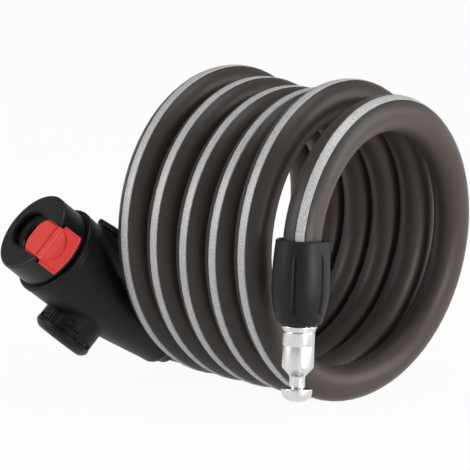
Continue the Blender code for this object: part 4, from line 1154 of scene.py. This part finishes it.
class CABLE_LOCK_OT_rail(Operator):
    """Makes the carrying rail on the back of the head, with its two screws"""
    bl_idname = "cable_lock.rail"
    bl_label = "Carrying rail"

    def execute(self, context):
        head = settings().head
        reach = head.rail_reach
        half = head.rail_width / 2
        top = 13.4 * MM
        foot = -14.2 * MM
        screws = (9.6 * MM, -8.6 * MM)
        corner = 3.0 * MM

        def outline(inset, depth):
            """Rounded plate, set in all round by an inset, at a depth along the rail's own axis."""
            x = half - inset
            low = -top + inset
            high = -foot - inset
            soft = max(0.6 * MM, corner - inset)
            corners = [(x, high, soft), (x, low, soft), (-x, low, soft), (-x, high, soft)]
            return [(*point, depth) for point in soft_line(corners, closed=True, steps=10)]

        neck = 1.0 * MM
        back = reach - 2.2 * MM
        edge = 0.5 * MM
        rows = [outline(neck, 11.5 * MM), outline(neck, back), outline(edge, back), outline(0, back + edge),
                outline(0, reach - edge), outline(0.3 * edge, reach - 0.3 * edge), outline(edge, reach)]
        rail = shaped("rail", skinned(rows), toward_rail())
        well = 3.0 * MM
        well_foot = reach - 1.8 * MM
        past = reach + 1 * MM
        hole = [(0, past), (well, past), (well, well_foot), (0, well_foot)]
        wells = [shaped(f"screw_well_{count}", turned(hole, 40), toward_rail(height))
                 for count, height in enumerate(screws, 1)]
        worked(rail, wells)
        finished(rail, "lock", "black_plastic", [kept("rail_black", moulded_black)], "bracket_rail")

        head_radius = 2.7 * MM
        head_foot = reach - 1.5 * MM
        thread = 1.4 * MM
        thread_foot = 10 * MM
        line = soft_line([
            (0, reach - 0.15 * MM, 0), (1.6 * MM, reach - 0.2 * MM, 0.8 * MM),
            (head_radius, reach - 0.6 * MM, 0.3 * MM), (head_radius, head_foot, 0), (thread, head_foot, 0),
            (thread, thread_foot, 0.3 * MM), (0, thread_foot, 0)])
        slit = 0.35 * MM
        span = 1.6 * MM
        arm = [(slit, span), (slit, slit), (span, slit)]
        cross = []
        for _ in range(4):
            cross += arm
            arm = [(y, -x) for x, y in arm]
        for count, height in enumerate(screws, 1):
            screw = shaped(f"rail_fixing_{count}", turned(line, 40), toward_rail(height))
            drive = shaped("drive", raised(cross, reach - 1.0 * MM, past), toward_rail(height))
            worked(screw, [drive], 0.06 * MM)
            finished(screw, "lock", "bright_steel", [kept("screw_steel", turned_steel)],
                     f"rail_screw_{count}")
        return {"FINISHED"}


class CABLE_LOCK_OT_spring(Operator):
    """Makes the latch spring at one length; the real spring shortens as the latch draws back"""
    bl_idname = "cable_lock.spring"
    bl_label = "Latch spring"

    def execute(self, context):
        solid = frame["nodes"]["latch_spring"].data
        into = head_place().inverted()
        spots = [into @ vertex.co for vertex in solid.vertices]
        low = Vector([min(spot[axis] for spot in spots) for axis in range(3)])
        high = Vector([max(spot[axis] for spot in spots) for axis in range(3)])
        middle = (low + high) / 2
        wire = 0.22 * MM
        coil = (high.y - low.y) / 2 - wire
        curls = 4
        steps = 36
        sides = 12
        ring = [math.tau * side / sides for side in range(sides)]
        rows = []
        for step in range(curls * steps + 1):
            turn = math.tau * step / steps
            share = step / (curls * steps)
            out = Vector((0, math.cos(turn), math.sin(turn)))
            along = low.x + wire + (high.x - low.x - 2 * wire) * share
            centre = Vector((along, middle.y, middle.z)) + out * coil
            rows.append([centre + (out * math.cos(spot) + Vector((math.sin(spot), 0, 0))) * wire
                         for spot in ring])
        spring = shaped("spring", skinned(rows), head_place())
        finished(spring, "lock", "bright_steel", [kept("spring_steel", turned_steel)], "latch_spring")
        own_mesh(spring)
        return {"FINISHED"}


class CABLE_LOCK_OT_works(Operator):
    """Gives the hidden works of the lock their metals"""
    bl_idname = "cable_lock.works"
    bl_label = "Lock works"

    def execute(self, context):
        metals = {
            "cable_core": ("rope_strand", rope_strand),
            "lock_chassis": ("chassis_zinc", cast_zinc), "cable_anchor": ("anchor_zinc", cast_zinc),
            "barrel_pin": ("pin_steel", turned_steel), "anchor_pin": ("pin_steel", turned_steel),
            "plug_clip": ("clip_steel", turned_steel), "cam": ("cam_steel", turned_steel),
            "cam_screw": ("screw_steel", turned_steel), "latch": ("latch_steel", turned_steel),
            "spring_screw": ("screw_steel", turned_steel),
        }
        metals.update({f"wafer_{count + 1}": ("wafer_brass", turned_brass) for count in range(5)})
        for node, (name, maker) in metals.items():
            for slot in frame["nodes"][node].material_slots:
                slot.material = kept(name, maker)
        return {"FINISHED"}


# Studio

def paper_floor(name):
    """Pale paper that stays near white for the camera and still takes the lock's shadow."""
    paper = settings().studio.floor
    made = Finish(name, 0.9)
    fibre = made.noise(1.5 * MM, 4.0)
    made.join(made.shades(fibre, (0.3, scaled(paper, 0.985)), (0.7, paper)), "Base Color")
    made.set("Specular IOR Level", 0.0)
    rays = made.node("ShaderNodeLightPath", {})
    seen = made.reckoned("MAXIMUM", rays.outputs["Is Camera Ray"], rays.outputs["Is Glossy Ray"])
    seen = made.reckoned("MAXIMUM", seen, rays.outputs["Is Transmission Ray"])
    glow = made.node("ShaderNodeEmission", {}, Color=(1, 1, 1, 1), Strength=1.0)
    mix = made.node("ShaderNodeMixShader", {}, Fac=made.reckoned("MULTIPLY", seen, FLOOR_GLOW))
    made.tree.links.new(made.shader.outputs[0], mix.inputs[1])
    made.tree.links.new(glow.outputs[0], mix.inputs[2])
    made.tree.links.new(mix.outputs[0], made.tree.nodes["Material Output"].inputs["Surface"])
    return made.material


def white_room():
    """Soft light from all round."""
    world = bpy.data.worlds.new("white_room")
    bpy.context.scene.world = world
    world.use_nodes = True
    light = world.node_tree.nodes["Background"]
    light.inputs["Color"].default_value = (1, 1, 1, 1)
    light.inputs["Strength"].default_value = settings().studio.room_light


def softbox(name, spot, size, watts):
    lamp = bpy.data.lights.new(name, "AREA")
    lamp.shape = "RECTANGLE"
    lamp.size, lamp.size_y = size
    lamp.energy = watts
    made = bpy.data.objects.new(name, lamp)
    bpy.context.scene.collection.objects.link(made)
    aim = Vector(LIGHT_AIM) - Vector(spot)
    made.matrix_world = Matrix.Translation(spot) @ aim.to_track_quat("-Z", "Y").to_matrix().to_4x4()


class CABLE_LOCK_OT_stage(Operator):
    """Makes the camera, the soft lights, the white room and the pale floor"""
    bl_idname = "cable_lock.stage"
    bl_label = "Stage"

    def execute(self, context):
        scene = context.scene
        studio = settings().studio
        lens = bpy.data.cameras.new("camera")
        lens.lens = studio.lens
        lens.sensor_width = SENSOR_WIDTH
        lens.clip_end = 100
        camera = put("camera", lens, Matrix.Identity(4))
        right = Vector(VIEW_RIGHT).normalized()
        up = Vector(VIEW_UP).normalized()
        back = right.cross(up)
        turn = Matrix((right, up, back)).transposed().to_4x4()
        camera.matrix_world = Matrix.Translation(Vector(AIM) + back * VIEW_DISTANCE) @ turn
        scene.camera = camera

        sweep = FLOOR_FLAT + arc(SWEEP_CENTRE, (SWEEP_RADIUS, SWEEP_RADIUS), -math.pi / 2, 0, 12)
        floor = shaped("floor", turned(sweep, 64), Matrix.Translation((0, 0, FLOOR_HEIGHT)))
        floor.data.materials.append(kept("paper", paper_floor))
        white_room()
        for light in LIGHTS:
            softbox(*light)
        scene.view_settings.view_transform = "Standard"
        return {"FINISHED"}


class CABLE_LOCK_PT_sidebar(Panel):
    """Lists the pieces of the lock, its sizes and its finishes"""
    bl_idname = "CABLE_LOCK_PT_sidebar"
    bl_label = "Cable Lock"
    bl_space_type = "VIEW_3D"
    bl_region_type = "UI"
    bl_category = "Cable Lock"

    def draw(self, context):
        layout = self.layout
        for step in STEPS:
            layout.operator(step.bl_idname)
        chosen = context.scene.cable_lock
        for group in (chosen.cable, chosen.bolt_end, chosen.head, chosen.finish, chosen.studio):
            column = layout.box().column()
            for name in group.__annotations__:
                column.prop(group, name)


STEPS = (
    CABLE_LOCK_OT_stage, CABLE_LOCK_OT_cable, CABLE_LOCK_OT_sleeve, CABLE_LOCK_OT_bolt,
    CABLE_LOCK_OT_cord, CABLE_LOCK_OT_shell, CABLE_LOCK_OT_cap, CABLE_LOCK_OT_cover,
    CABLE_LOCK_OT_cylinder, CABLE_LOCK_OT_socket, CABLE_LOCK_OT_rail, CABLE_LOCK_OT_spring,
    CABLE_LOCK_OT_works,
)
GROUPS = (CableSettings, BoltEndSettings, HeadSettings, FinishSettings, StudioSettings, CableLockSettings)


def register():
    for kind in GROUPS + STEPS + (CABLE_LOCK_PT_sidebar,):
        bpy.utils.register_class(kind)
    bpy.types.Scene.cable_lock = PointerProperty(type=CableLockSettings)


def unregister():
    del bpy.types.Scene.cable_lock
    for kind in reversed(GROUPS + STEPS + (CABLE_LOCK_PT_sidebar,)):
        bpy.utils.unregister_class(kind)


def main():
    register()
    bpy.ops.cable_lock.stage()
    bpy.ops.cable_lock.cable()
    bpy.ops.cable_lock.sleeve()
    bpy.ops.cable_lock.bolt()
    bpy.ops.cable_lock.cord()
    bpy.ops.cable_lock.shell()
    bpy.ops.cable_lock.cap()
    bpy.ops.cable_lock.cover()
    bpy.ops.cable_lock.cylinder()
    bpy.ops.cable_lock.socket()
    bpy.ops.cable_lock.rail()
    bpy.ops.cable_lock.spring()
    bpy.ops.cable_lock.works()


if __name__ == "__main__":
    main()
